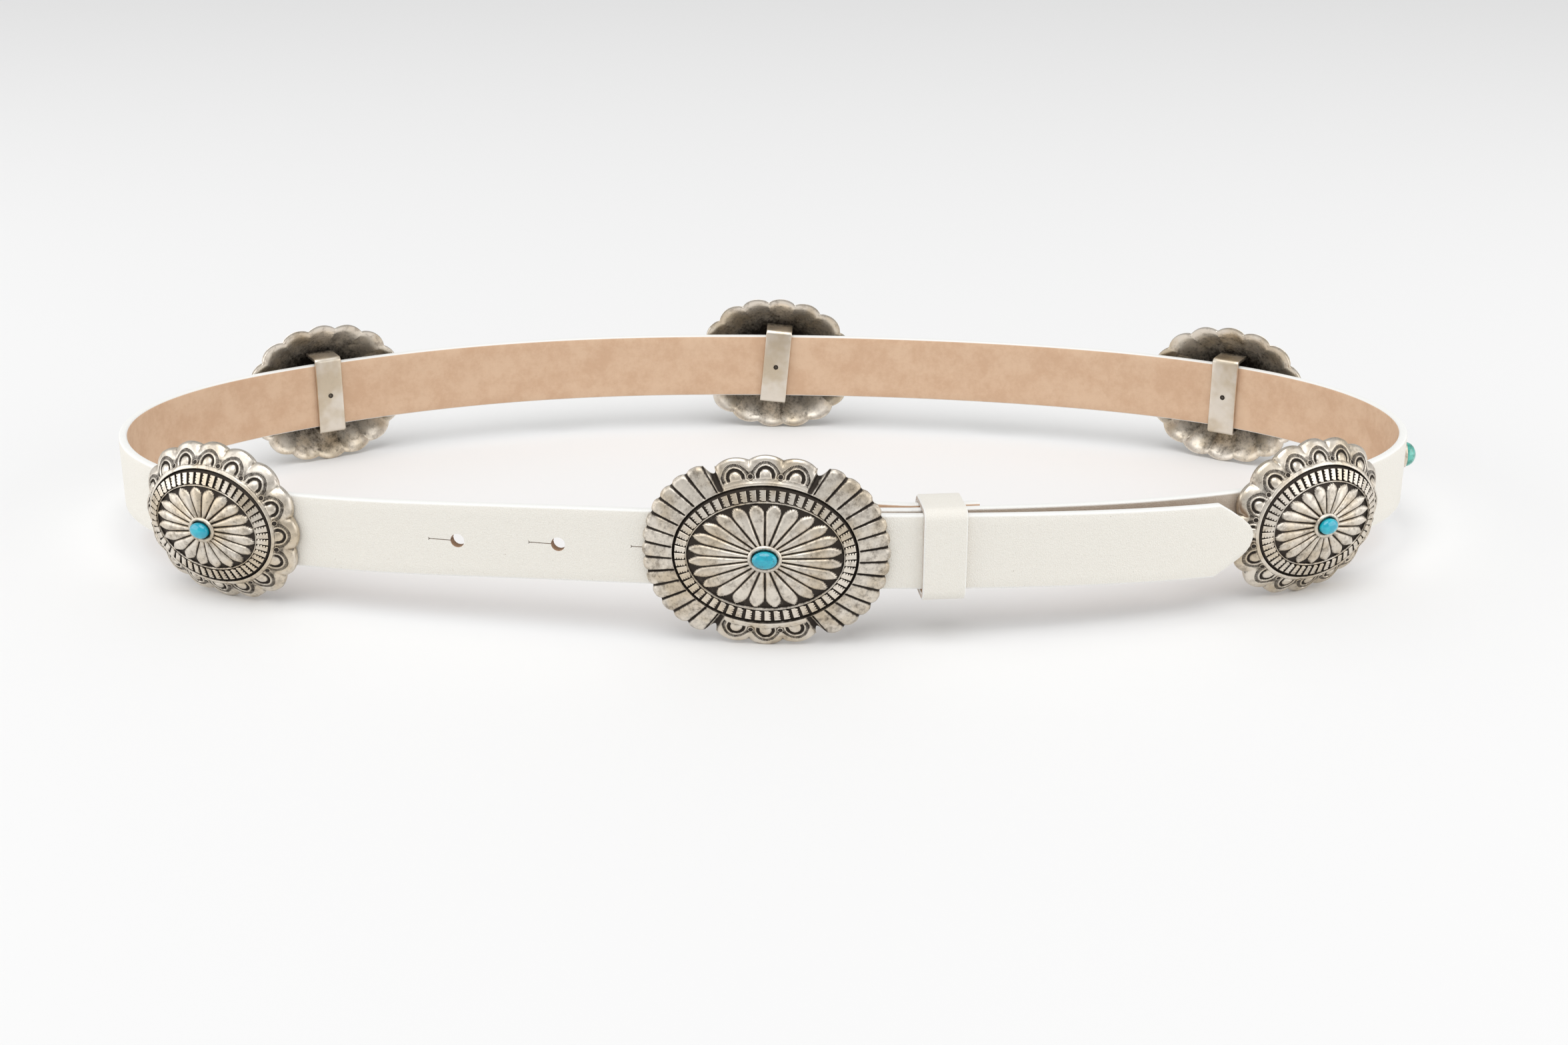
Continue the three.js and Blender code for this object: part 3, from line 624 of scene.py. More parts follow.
def make_sweep_tree():
    tree = bpy.data.node_groups.new("Sweep a section", "GeometryNodeTree")
    inputs = {
        "Line": add_input(tree, "Line", "NodeSocketGeometry"),
        "Section": add_input(tree, "Section", "NodeSocketObject"),
        "Material": add_input(tree, "Material", "NodeSocketMaterial"),
    }
    tree.interface.new_socket("Geometry", in_out="OUTPUT", socket_type="NodeSocketGeometry")
    board = Board(tree)
    start = board.add("NodeGroupInput").socket.node
    line = Wire(board, start.outputs["Line"])
    curve = board.add("GeometryNodeMeshToCurve", {}, {0: line})
    upright = board.add("GeometryNodeSetCurveNormal", {"mode": "Z_UP"}, {0: curve})
    section = board.add("GeometryNodeObjectInfo", {}, {0: Wire(board, start.outputs["Section"])}, out=4)
    ring = board.add("GeometryNodeMeshToCurve", {}, {0: section})
    swept = board.add("GeometryNodeCurveToMesh", {}, {
        "Curve": upright, "Profile Curve": ring, "Fill Caps": True,
    })
    half = board.add("GeometryNodeInputNamedAttribute", {"data_type": "FLOAT"}, {"Name": "half"})
    height = board.add("GeometryNodeInputNamedAttribute", {"data_type": "FLOAT"}, {"Name": "height"})
    place = board.add("GeometryNodeInputPosition")
    up = board.add("ShaderNodeSeparateXYZ", {}, {0: place}, out=2)
    move = board.add("ShaderNodeCombineXYZ", {}, {2: (up - height) * (half - 1)})
    shaped = board.add("GeometryNodeSetPosition", {}, {"Geometry": swept, "Offset": move})
    real = board.add("GeometryNodeRealizeInstances", {}, {0: shaped})
    finish = {"Geometry": real, "Material": Wire(board, start.outputs["Material"])}
    board.add("NodeGroupOutput", {}, {0: board.add("GeometryNodeSetMaterial", {}, finish)})
    return tree, inputs


SWEEP, SWEEP_INPUTS = make_sweep_tree()


def wire_object(name, points, closed, numbers=None):
    """An object of edges only: a line or a section."""
    piece = new_object(name, points, [], numbers)
    count = len(points)
    mesh = piece.data
    edges = count if closed else count - 1
    mesh.edges.add(edges)
    ends = [[i, (i + 1) % count] for i in range(edges)]
    mesh.edges.foreach_set("vertices", np.array(ends).ravel())
    mesh.update()
    return piece


def sweep(name, line, section, material, closed=False, half=None):
    """Carries a closed section along a line of points, as a plain mesh."""
    line = np.asarray(line, float)
    numbers = {"half": np.ones(len(line)) if half is None else half, "height": line[:, 2]}
    carrier = wire_object(name, line, closed, numbers)
    ring = wire_object(name + "_section", [(x, y, 0) for x, y in section], True)
    modifier = carrier.modifiers.new("Sweep", "NODES")
    modifier.node_group = SWEEP
    modifier[SWEEP_INPUTS["Section"]] = ring
    modifier[SWEEP_INPUTS["Material"]] = material
    mesh = evaluated(carrier)
    drop(carrier, ring)
    face_outward(mesh)
    return mesh


def rounded_section(wide, high, radius, corner_steps=3, wide_steps=1, high_steps=1):
    """A rectangle with round corners, as a closed list of points."""
    signs = [(1, 1), (-1, 1), (-1, -1), (1, -1)]

    def on_corner(corner, share):
        angle = (corner + share) * math.pi / 2
        x_sign, y_sign = signs[corner % 4]
        x = x_sign * (wide / 2 - radius) + radius * math.cos(angle)
        return x, y_sign * (high / 2 - radius) + radius * math.sin(angle)

    points = []
    for corner in range(4):
        points += [on_corner(corner, step / corner_steps) for step in range(corner_steps + 1)]
        first, last = points[-1], on_corner(corner + 1, 0)
        side_steps = high_steps if corner % 2 else wide_steps
        for step in range(1, side_steps):
            share = step / side_steps
            points.append(tuple(a + (b - a) * share for a, b in zip(first, last)))
    return points


# %% [markdown]
# ## The strap
# The section is a flat band with softly rounded edges. Its stations are close together, so the
# grain side stays smooth where the loop turns sharply. The button holes are cut afterwards with a
# keyhole cutter, a round hole with a slit that ends in a tiny fork, because a hole in the section
# itself isn't possible.

# %% Sweep the strap
EDGE_ROUND = 0.75
HOLE_COUNT = 5
HOLE_IN_USE = 2
HOLE_PITCH = 33.9
HOLE_BORE = 4.7
PEG_INSET = 6.1
SLIT_REACH = 10.0
SLIT_WIDTH = 0.24
FORK = 0.55
FORK_PRONG = 0.15
FORK_CROTCH = 0.35
PEG_AT = PEG_INSET - BUCKLE_LENGTH / 2
HOLE_SEATS = [Seat(PEG_AT + (hole - HOLE_IN_USE) * HOLE_PITCH, False) for hole in range(HOLE_COUNT)]


def strap_mesh():
    line = np.column_stack([STRAP_LINE + SHIFT, middle_height(STATION_AT)])
    section = rounded_section(STRAP_THICK, STRAP_WIDTH, EDGE_ROUND, 3, 1, 8)
    return sweep("strap_sweep", line, section, WHITE_LEATHER, half=STATION_HALF)


def keyhole():
    """The outline of a button hole and its slit, which runs back along the strap."""
    radius = HOLE_BORE / 2
    half = SLIT_WIDTH / 2
    open_angle = math.asin(half / radius)
    round_part = np.linspace(-math.pi + open_angle, math.pi - open_angle, 23)
    outline = [(radius * math.cos(a), radius * math.sin(a)) for a in round_part]
    end = -SLIT_REACH
    upper = [(end + FORK, half), (end, FORK), (end + FORK_PRONG, half)]
    lower = [(x, -z) for x, z in reversed(upper)]
    return outline + upper + [(end + FORK_CROTCH, 0)] + lower


def hole_cutter():
    outline = keyhole()
    count = len(outline)
    points = []
    faces = []
    for seat in HOLE_SEATS:
        start = len(points)
        height = float(middle_height(seat.along))
        for depth in (-STRAP_THICK, STRAP_THICK):
            for x, z in outline:
                flat = seat.here + SHIFT + seat.ahead * x + seat.inward * depth
                points.append((flat[0], flat[1], height + z))
        faces += ring_faces(count, 2, start, flipped=True)
        faces.append(range(start + count - 1, start - 1, -1))
        faces.append(range(start + count, start + 2 * count))
    cutter = new_object("hole_cutter", points, faces)
    face_outward(cutter.data)
    return cutter


# %% Cut the holes and mark the sides
def mark_leather(mesh, middle, outward, height, half_height, half_thick):
    """Stores which side of the leather each point is on, from its nearest station."""
    count = len(mesh.vertices)
    co = np.empty(count * 3)
    mesh.vertices.foreach_get("co", co)
    co = co.reshape(-1, 3)
    nearest = np.empty(count, int)
    for start in range(0, count, 2000):
        gap = co[start:start + 2000, None, :2] - middle[None]
        nearest[start:start + 2000] = (gap ** 2).sum(2).argmin(1)
    side = ((co[:, :2] - middle[nearest]) * outward[nearest]).sum(1) / half_thick
    rim = np.abs(co[:, 2] - height[nearest]) / half_height[nearest]
    store(mesh, "side", side)
    store(mesh, "rim", rim)
    return nearest


def outward_from(ahead):
    """The way out from a line, square to the way along it."""
    ahead = ahead / np.linalg.norm(ahead, axis=1)[:, None]
    return np.stack([ahead[:, 1], -ahead[:, 0]], 1)


def mark_cuts(mesh):
    """Bare brown leather on the walls of the holes and slits, which face across the strap."""
    cut = np.zeros(len(mesh.polygons))
    for face in mesh.polygons:
        for seat in HOLE_SEATS:
            flat = np.array(face.center[:2]) - seat.here - SHIFT
            x = flat @ seat.ahead
            z = face.center[2] - float(middle_height(seat.along))
            on_wall = abs(np.array(face.normal[:2]) @ seat.inward) < 0.3
            close = abs(flat @ seat.inward) < STRAP_THICK and -SLIT_REACH - 0.5 < x < HOLE_BORE
            if on_wall and close and abs(z) < HOLE_BORE:
                cut[face.index] = 1
    store(mesh, "cut", cut, "FACE")


def make_strap():
    strap = in_scene("strap_uncut", strap_mesh())
    cutter = hole_cutter()
    modifier = strap.modifiers.new("Holes", "BOOLEAN")
    modifier.object = cutter
    modifier.operation = "DIFFERENCE"
    modifier.solver = "EXACT"
    mesh = evaluated(strap)
    drop(strap, cutter)
    outward = outward_from(np.gradient(STRAP_LINE, axis=0))
    height = middle_height(STATION_AT)
    half = STATION_HALF * STRAP_WIDTH / 2
    nearest = mark_leather(mesh, STRAP_LINE + SHIFT, outward, height, half, STRAP_THICK / 2)
    # The grain of the strap under the tail is marked for the tail's painted shade.
    under = (STATION_AT[nearest] < TAIL_REACH) & (STATION_OUT[nearest] < 0)
    store(mesh, "tail_shadow", under)
    mark_cuts(mesh)
    mesh.transform(Matrix.Scale(MM, 4))
    piece = in_scene("strap_leather", mesh)
    mesh.shade_smooth()
    mesh.set_sharp_from_angle(angle=math.radians(40))
    finish_piece(piece, WHITE_LEATHER, "white_leather", "strap")


make_strap()

# %% [markdown]
# ## The keeper
# The keeper is a strip of the same leather, bent into a ring round the tail, the strap and the
# fold. It is swept the other way about: the line is the ring and the section is the strip.

# %% Sweep the keeper
KEEPER_THICK = 2.3
KEEPER_CORNER = 3.6
KEEPER_SLACK = 1.2
KEEPER_EDGE = 0.55
KEEPER_CUT_BROWN = 0.55


def make_keeper():
    seat = Seat(KEEPER_AT, False)
    half = KEEPER_WIDTH / 2
    nearest = -seat.strap_depths(1, 0, half).min() + FIT_GAP
    far_point = beside_route(KEEPER_AT + half, -fold_inset(KEEPER_AT + half))
    deepest = seat.depth_of(far_point) + STRAP_THICK / 2 + FIT_GAP
    top = STRAP_WIDTH / 2 + FIT_GAP
    bottom = -STRAP_WIDTH / 2 - KEEPER_SLACK
    wide = nearest + deepest + KEEPER_THICK
    high = top - bottom + KEEPER_THICK
    ring = rounded_section(wide, high, KEEPER_CORNER - KEEPER_THICK / 2, 5, 3, 10)
    shift = Vector(((deepest - nearest) / 2, (top + bottom) / 2))
    section = rounded_section(KEEPER_THICK, KEEPER_WIDTH, KEEPER_EDGE, 3, 1, 6)
    flat_line = [(x + shift.x, y + shift.y, 0) for x, y in ring]
    mesh = sweep("keeper_sweep", flat_line, section, WHITE_LEATHER, closed=True)
    line = np.array(flat_line)[:, :2]
    outward = outward_from(np.roll(line, -1, 0) - np.roll(line, 1, 0))
    zero = np.zeros(len(line))
    mark_leather(mesh, line, outward, zero, zero + KEEPER_WIDTH / 2, KEEPER_THICK / 2)
    on_edge = [abs(face.center.z) > KEEPER_WIDTH / 2 - 0.02 for face in mesh.polygons]
    store(mesh, "cut", KEEPER_CUT_BROWN * np.array(on_edge), "FACE")
    move_points(mesh, lambda x, y, z: (z, x, y))
    smooth_skin(mesh)
    piece = settle(mesh, "keeper_leather", seat.matrix())
    finish_piece(piece, WHITE_LEATHER, "white_leather", "keeper")


make_keeper()

# %% [markdown]
# ## A cast medallion
# Conchos and buckle are one idea in two sizes: an oval dome with rings of ornament. From the
# middle outward there is the stone in its rim, a field of petals, a ring of small toothed bars, a
# dark groove, and an outer band with crescents whose edge is scalloped. A sculptor would press
# each motif into wax. Here the whole face is a grid of rings, and the height of every point comes
# from a short formula for the motif that it lies in. The bars and the little punched dots are
# finer than the grid, so those are separate meshes set round it.

# %% Sizes of the medallions
CONCHO = {
    "length": 62.8, "height": 54.6, "edge": 2.0, "dome": 9.4, "power": 3, "wall": 1.5,
    "groove": (25.0, 19.8), "bars_out": (24.5, 18.9), "bars_in": (20.5, 14.65),
    "field": (20.1, 14.0), "setting": (5.0, 4.35), "stone": (3.6, 2.7), "petals": 20,
    "bars": 50, "samples": 640, "lunettes": 16, "arc_foot": 0.28, "arc_scale": 9.2, "feet": 0.15,
    "dots_at": 0.24, "crescent": (1.75, 2.8), "arch": (3.4, 4.55), "bulge": 0.04,
    "stone_dome": 1.65,
}
BUCKLE = {
    "length": 79.2, "height": 64.4, "edge": 1.8, "dome": 5.8, "power": 2.4, "wall": 1.6,
    "groove": (29.8, 23.6), "bars_out": (28.9, 22.5), "bars_in": (25.3, 18.4),
    "field": (24.8, 17.6), "setting": (5.45, 4.5), "stone": (4.0, 2.85), "petals": 24,
    "bars": 56, "samples": 800, "ribs": 13, "rib_span": 120.0, "lobe_span": 50.0, "lobes": 3,
    "arc_foot": 0.33, "arc_scale": 9.4, "feet": 0.22, "dots_at": 0.32, "crescent": (2.0, 3.15),
    "arch": (3.65, 4.75), "bulge": 0.035, "stone_dome": 1.75,
}
LOBE_DEPTH = 1.6
BUCKLE_LOBE_DEPTH = 1.5
RIB_DEPTH = 0.7


def bell(distance, width):
    return np.exp(-(distance / width) ** 2)


def dome_rise(kind, share):
    return kind["edge"] + kind["dome"] * (1 - np.minimum(share, 1) ** kind["power"])


def share_of(kind, across, up):
    return (2 * across / kind["length"] + 2 * up / kind["height"]) / 2


# %% Scallops, ribs and crescents
CELL_HALF = 5.0
FINE_TURN = np.linspace(0, 2 * math.pi, 7201)


def even_cells(kind, angles):
    """Numbers the crescents' cells so that they are equally long round the outer band."""
    across = (kind["length"] / 2 + kind["groove"][0]) / 2
    up = (kind["height"] / 2 + kind["groove"][1]) / 2
    pace = np.hypot(across * np.sin(FINE_TURN), up * np.cos(FINE_TURN))
    run = np.concatenate([[0], np.cumsum((pace[1:] + pace[:-1]) / 2)])
    return np.interp(angles, FINE_TURN, run / run[-1]) * kind["lunettes"]


def scallop(phase):
    """0 at a notch between two lobes, 1 at a lobe's crest."""
    return np.abs(np.sin(math.pi * phase)) ** 0.8


def concho_band(kind, angles):
    """The rim's reach and each point's place across its crescent's cell, -1 to 1."""
    cells = even_cells(kind, angles) + 0.5
    phase = cells % 1
    bulge = 1 + kind["bulge"] * np.sin(2 * angles) ** 2
    reach = bulge - LOBE_DEPTH / (kind["height"] / 2) * (1 - scallop(phase))
    nothing = np.zeros_like(angles)
    return reach, 2 * phase - 1, np.ones_like(angles), nothing


def buckle_band(kind, angles):
    """As concho_band, with ribs at the sides and three crescents above and below."""
    degrees = np.degrees(angles)
    from_side = (degrees + 90) % 180 - 90
    from_top = degrees % 180 - 90
    half = kind["height"] / 2
    rib_step = kind["rib_span"] / kind["ribs"]
    rib = (from_side + kind["rib_span"] / 2) / rib_step
    is_rib = np.abs(from_side) <= kind["rib_span"] / 2
    rib_edge = np.minimum(rib % 1, 1 - rib % 1)
    bulge = 1 + kind["bulge"] * np.sin(2 * angles) ** 2
    rib_reach = bulge - RIB_DEPTH / half * bell(rib_edge, 0.2)
    lobe_step = kind["lobe_span"] / kind["lobes"]
    lobe = (from_top + kind["lobe_span"] / 2) / lobe_step
    is_lobe = np.abs(from_top) <= kind["lobe_span"] / 2
    lobe_reach = 1 - BUCKLE_LOBE_DEPTH / half * (1 - scallop(lobe % 1))
    ribs_start = 90 - kind["rib_span"] / 2
    gap = (np.abs(from_top) - kind["lobe_span"] / 2) / (ribs_start - kind["lobe_span"] / 2)
    gap_reach = 1 - 2.2 * BUCKLE_LOBE_DEPTH / half * np.sin(math.pi * np.clip(gap, 0, 1)) ** 0.5
    reach = np.where(is_rib, rib_reach, np.where(is_lobe, lobe_reach, gap_reach))
    notch = np.where(is_lobe, 0, np.sin(math.pi * np.clip(gap, 0, 1)) ** 0.5)
    groove = np.where(is_rib, bell(rib_edge, 0.07), notch ** 4)
    return reach, 2 * (lobe % 1) - 1, is_lobe.astype(float), groove


def stripe(place, start, end, soft):
    """1 from start to end, falling to 0 over a soft edge on either side."""
    return smooth((place - start) / soft + 0.5) * smooth((end - place) / soft + 0.5)


def crescent_relief(kind, u_share, q, is_cell):
    """Height, shade and tick numbers of the crescents, at a share q across the outer band."""
    u = u_share * CELL_HALF
    v = np.maximum((q - kind["arc_foot"]) * kind["arc_scale"], 0)
    radius = np.hypot(u, v)
    off_band = smooth((q - kind["feet"]) / 0.06)
    crescent = stripe(radius, *kind["crescent"], 0.35) * off_band
    arch = stripe(radius, *kind["arch"], 0.3) * off_band
    nub = np.clip(1 - radius / kind["crescent"][0], 0, 1) ** 0.7 * off_band
    valley = bell(1 - np.abs(u_share), 0.12) * smooth((q - 0.72) / 0.24)
    between = stripe(radius, 4.5, 9, 0.5) * stripe(q, kind["feet"], 0.6, 0.2)
    rise = 0.45 * nub - 0.66 * crescent - 0.3 * arch - 0.45 * valley - 0.22 * between
    rise = rise + 0.2 * bell(q - 0.07, 0.06)
    line = bell(q - kind["feet"], 0.02) * 0.6
    shade = 1.1 * crescent + 0.55 * arch + 0.55 * valley + 0.55 * between + line
    return rise * is_cell, np.clip(shade, 0, 1) * is_cell, np.arctan2(u, v), arch * is_cell


# %% Petals
PETAL_SHAPE = [
    (0, 0.78), (0.3, 0.84), (0.55, 0.9), (0.72, 0.92), (0.82, 0.85), (0.9, 0.62), (0.96, 0.32), (1, 0.02),
]
PETAL_RISE = 0.95
PETAL_SHADE = 0.3
FIELD_DEPTH = 0.6


def petal_relief(kind, angles, inward):
    """Height and shade of the petal field; inward is 0 at its outside and 1 at the setting."""
    phase = angles / (2 * math.pi) * kind["petals"] % 1
    away = np.abs(2 * phase - 1)
    half = along_table(PETAL_SHAPE, 1 - inward)
    crown = np.sqrt(np.clip(1 - (away / half) ** 2, 0, 1))
    rise = -FIELD_DEPTH + PETAL_RISE * crown
    return rise, np.maximum(0.92 * (1 - smooth(crown * 2.2)), PETAL_SHADE)


# %% Face rows of a medallion
BAND_ROWS = 34
FIELD_ROWS = 30
RIB_SHADE = 0.34
RIM_ROWS = [(0.9965, -0.1), (1.0, -0.55), (1.0, -1.2), (0.992, -1.75)]


def face_rows(kind, band):
    """Every ring of the face from the setting out to the rim's back edge."""
    angles = np.arange(kind["samples"]) * 2 * math.pi / kind["samples"]
    zero = np.zeros_like(angles)
    rows = []

    def ring(across, up, lift, shade, ticks=zero, way=zero):
        base = dome_rise(kind, share_of(kind, across, up))
        rows.append((across * np.cos(angles), -base - lift, up * np.sin(angles), shade, ticks, way))

    setting, field = np.array(kind["setting"]), np.array(kind["field"])
    ring(setting[0] * 0.35, setting[1] * 0.35, zero, zero + 1)
    for inward in np.linspace(1.06, 0, FIELD_ROWS):
        across, up = field + (setting - field) * inward
        lift, shade = petal_relief(kind, angles, min(max(inward, 0), 1))
        ring(across, up, lift, shade)
    inner, outer, groove = (np.array(kind[key]) for key in ("bars_in", "bars_out", "groove"))
    for place, lift, shade in [
        (field + 0.1, -0.35, 0.8), (inner - 0.14, 0.1, 0.3), (inner + 0.02, 0.1, 0.3),
        (inner + 0.15, -0.3, 0.9), ((inner + outer) / 2, -0.32, 0.88), (outer - 0.1, -0.35, 0.95),
        (outer + (groove - outer) * 0.4, -0.8, 1), (groove - 0.04, -0.1, 0.6),
    ]:
        ring(place[0], place[1], zero + lift, zero + shade)
    reach, u_share, is_cell, rib_groove = band(kind, angles)
    rim = (kind["length"] / 2 * reach, kind["height"] / 2 * reach)
    edge_share = share_of(kind, groove[0], groove[1])
    for q in np.linspace(0, 1, BAND_ROWS):
        lift, shade, way, ticks = crescent_relief(kind, u_share, q, is_cell)
        rib_fade = smooth(q / 0.05)
        lift = lift - 0.6 * rib_groove * rib_fade - (1 - is_cell) * 0.4 * smooth((q - 0.86) / 0.14) ** 2
        shade = np.clip(shade + rib_groove * rib_fade + RIB_SHADE * (1 - is_cell), 0, 1)
        round_over = 0.35 * smooth((q - 0.93) / 0.07) ** 2
        base = dome_rise(kind, edge_share + (1 - edge_share) * q)
        x = (groove[0] + (rim[0] - groove[0]) * q) * np.cos(angles)
        z = (groove[1] + (rim[1] - groove[1]) * q) * np.sin(angles)
        rows.append((x, -base - lift + round_over, z, shade, ticks, way))
    edge_lift = rows[-1][1]
    for out, lift in RIM_ROWS:
        y = edge_lift * (1 - min(-lift / kind["edge"] * 1.12, 1))
        rows.append((rim[0] * out * np.cos(angles), y, rim[1] * out * np.sin(angles), zero, zero, zero))
    return rows, angles, reach


# %% Back rows of a medallion
BACK_ROWS = 16
BACK_LIP = 0.965


def back_rows(kind, angles, reach):
    """The hollow back, a wall's thickness behind the dome, from the lip to the middle."""
    rows = []
    ripple = (reach - 1) * kind["height"] / 2
    for share in np.linspace(BACK_LIP, 0.03, BACK_ROWS):
        depth = dome_rise(kind, share) - kind["wall"] - kind["edge"] * smooth((share - 0.6) / 0.36)
        depth = np.maximum(depth, 0.02) * smooth((BACK_LIP + 0.012 - share) / 0.05)
        follow = smooth((share - 0.55) / 0.4)
        x = kind["length"] / 2 * (share + (reach - 1) * follow) * np.cos(angles)
        z = kind["height"] / 2 * (share + (reach - 1) * follow) * np.sin(angles)
        shade = 0.36 * smooth((0.97 - share) / 0.08) + 0.56 * smooth((0.8 - share) / 0.45)
        shade = np.clip(shade - 0.12 * ripple * follow, 0, 1) + 0 * angles
        rows.append((x, -depth + 0 * angles, z, shade, 0 * angles, 0 * angles))
    return rows


def skin(rows):
    """Joins rings of equal length into a closed skin with a fan at either end."""
    count = len(rows[0][0])
    columns = [np.concatenate([row[k] for row in rows]) for k in range(6)]
    points = np.stack(columns[:3], 1)
    ends = [points[:count].mean(0), points[-count:].mean(0)]
    points = np.vstack([points, ends])
    numbers = {}
    for key, column in zip(("shade", "tick_mask", "tick_way"), columns[3:]):
        numbers[key] = np.append(column, [column[0], column[-1]])
    faces = ring_faces(count, len(rows))
    first, last = len(points) - 2, len(points) - 1
    start = (len(rows) - 1) * count
    ring = [(i, (i + 1) % count) for i in range(count)]
    faces += [(first, a, b) for a, b in ring]
    faces += [(last, start + b, start + a) for a, b in ring]
    return points, faces, numbers


# %% [markdown]
# ## Copies round an oval
# Fifty bars and sixteen dots are set round each concho. A Geometry Nodes tree does that: it makes
# as many points as asked for, works out each one's angle, puts it on an oval that lies on the dome
# and turns the copy so that it stands on the slope. The same tree, stacked with other numbers,
# sets bars and dots.

# %% The tree that sets copies round an oval
def make_ring_tree():
    tree = bpy.data.node_groups.new("Copies round an oval", "GeometryNodeTree")
    names = {
        "Body": "Geometry", "Copy": "Object", "Count": "Int", "First angle": "Float",
        "Step angle": "Float", "Half length": "Float", "Half height": "Float", "Rise": "Float",
        "Tilt": "Float", "Size": "Vector", "Material": "Material",
    }
    inputs = {name: add_input(tree, name, "NodeSocket" + kind) for name, kind in names.items()}
    tree.interface.new_socket("Geometry", in_out="OUTPUT", socket_type="NodeSocketGeometry")
    board = Board(tree)
    start = board.add("NodeGroupInput").socket.node
    given = {name: Wire(board, start.outputs[name]) for name in names}
    angle = given["First angle"] + board.add("GeometryNodeInputIndex") * given["Step angle"]
    cosine, sine = angle.maths("COSINE"), angle.maths("SINE")
    place = board.add("ShaderNodeCombineXYZ", {}, {
        0: cosine * given["Half length"], 1: given["Rise"] * -1, 2: sine * given["Half height"],
    })
    points = board.add("GeometryNodePoints", {}, {"Count": given["Count"], "Position": place})
    slope = board.add("ShaderNodeCombineXYZ", {}, {
        0: cosine / given["Half length"], 2: sine / given["Half height"],
    })
    outward = board.add("ShaderNodeVectorMath", {"operation": "NORMALIZE"}, {0: slope})

    def blend(out_share, depth_share):
        grown = board.add("ShaderNodeVectorMath", {"operation": "SCALE"}, {0: outward, "Scale": out_share})
        deep = board.add("ShaderNodeCombineXYZ", {}, {1: depth_share})
        return board.add("ShaderNodeVectorMath", {"operation": "ADD"}, {0: grown, 1: deep})

    lean, level = given["Tilt"].maths("SINE"), given["Tilt"].maths("COSINE")
    stand = board.add("FunctionNodeAlignRotationToVector", {"axis": "Z"}, {
        "Vector": blend(lean, level * -1),
    })
    turned = board.add("FunctionNodeAlignRotationToVector", {"axis": "X", "pivot_axis": "Z"}, {
        "Rotation": stand, "Vector": blend(level, lean),
    })
    copy = board.add("GeometryNodeObjectInfo", {}, {0: given["Copy"]}, out=4)
    placed = board.add("GeometryNodeInstanceOnPoints", {}, {
        "Points": points, "Instance": copy, "Rotation": turned, "Scale": given["Size"],
    })
    joined = board.add("GeometryNodeJoinGeometry", {}, {0: placed})
    tree.links.new(given["Body"].socket, joined.socket.node.inputs[0])
    real = board.add("GeometryNodeRealizeInstances", {}, {0: joined})
    finish = {"Geometry": real, "Material": given["Material"]}
    board.add("NodeGroupOutput", {}, {0: board.add("GeometryNodeSetMaterial", {}, finish)})
    return tree, inputs


RING, RING_INPUTS = make_ring_tree()


def set_round(body, copy, material, **values):
    """Adds a ring of copies to a body; a value's name is its input's, with _ for a space."""
    modifier = body.modifiers.new("Ring", "NODES")
    modifier.node_group = RING
    modifier[RING_INPUTS["Copy"]] = copy
    modifier[RING_INPUTS["Material"]] = material
    for name, value in {"Size": (1.0, 1.0, 1.0), **values}.items():
        modifier[RING_INPUTS[name.replace("_", " ")]] = value


# %% Small motifs: a toothed bar and a punched dot
BAR_TEETH = 4
TOOTH = 0.62
BAR_RISE = 0.34
BAR_FOOT = -0.42


def toothed_bar(name, length, wide):
    """A raised bar along x with teeth on its far side."""
    outline = [(-length / 2, -wide / 2), (length / 2, -wide / 2 * 1.1)]
    pitch = length / BAR_TEETH
    for tooth in range(BAR_TEETH):
        at = length / 2 - tooth * pitch
        outline += [(at, wide / 2), (at - pitch * 0.55, wide / 2), (at - pitch * 0.75, wide / 2 - TOOTH)]
    outline.append((-length / 2, wide / 2 - TOOTH))
    count = len(outline)
    levels = [(BAR_FOOT, 1.0, 1.0), (BAR_RISE - 0.1, 1.0, 0.25), (BAR_RISE, 0.9, 0.0)]
    points = []
    shade = []
    for height, shrink, dark in levels:
        points += [(x * (1 - (1 - shrink) * 0.35), y * shrink, height) for x, y in outline]
        shade += [dark] * count
    faces = ring_faces(count, len(levels), flipped=True)
    faces.append(range(2 * count, 3 * count))
    faces.append(range(count - 1, -1, -1))
    return new_object(name, points, faces, {"shade": shade})


def turned_motif(name, profile, sides=12):
    """A small round form turned about z, from (radius, height, shade) rows."""
    points = []
    shade = []
    for radius, height, dark in profile:
        for side in range(sides):
            angle = side * 2 * math.pi / sides
            points.append((radius * math.cos(angle), radius * math.sin(angle), height))
            shade.append(dark)
    faces = ring_faces(sides, len(profile), flipped=True)
    faces.append(range(sides - 1, -1, -1))
    last = (len(profile) - 1) * sides
    faces.append(range(last, last + sides))
    zero = np.zeros(len(points))
    return new_object(name, points, faces, {"shade": shade, "tick_mask": zero, "tick_way": zero})


DOT_PROFILE = [
    (1.02, -0.45, 0.3), (0.98, 0.0, 0.3), (0.88, 0.1, 0.1), (0.78, 0.08, 0.7),
    (0.66, 0.02, 1.0), (0.35, 0.02, 1.0), (0.15, 0.06, 0.8),
]


# %% [markdown]
# ## The conchos
# One concho is worked out flat and then set down five times. Its rim round the stone is swept
# along an oval, and behind it a flat bail with bent ends holds it on the strap. The bail has the
# small round mark of the punch that pressed it.

# %% Rim of the setting, bail and stone
SETTING_RISE = 2.3
STONE_SINK = 0.55
BAIL_WIDTH = 10.5
BAIL_THICK = 1.4
BAIL_ROOM = 1.2
BAIL_SHADE = -0.4
BAIL_LEG_SHADE = 0.95
BAIL_BEND = 1.0
BAIL_EDGE = 0.4
SETTING_FOOT_SHADE = 0.9
SETTING_INNER_SHADE = 0.8
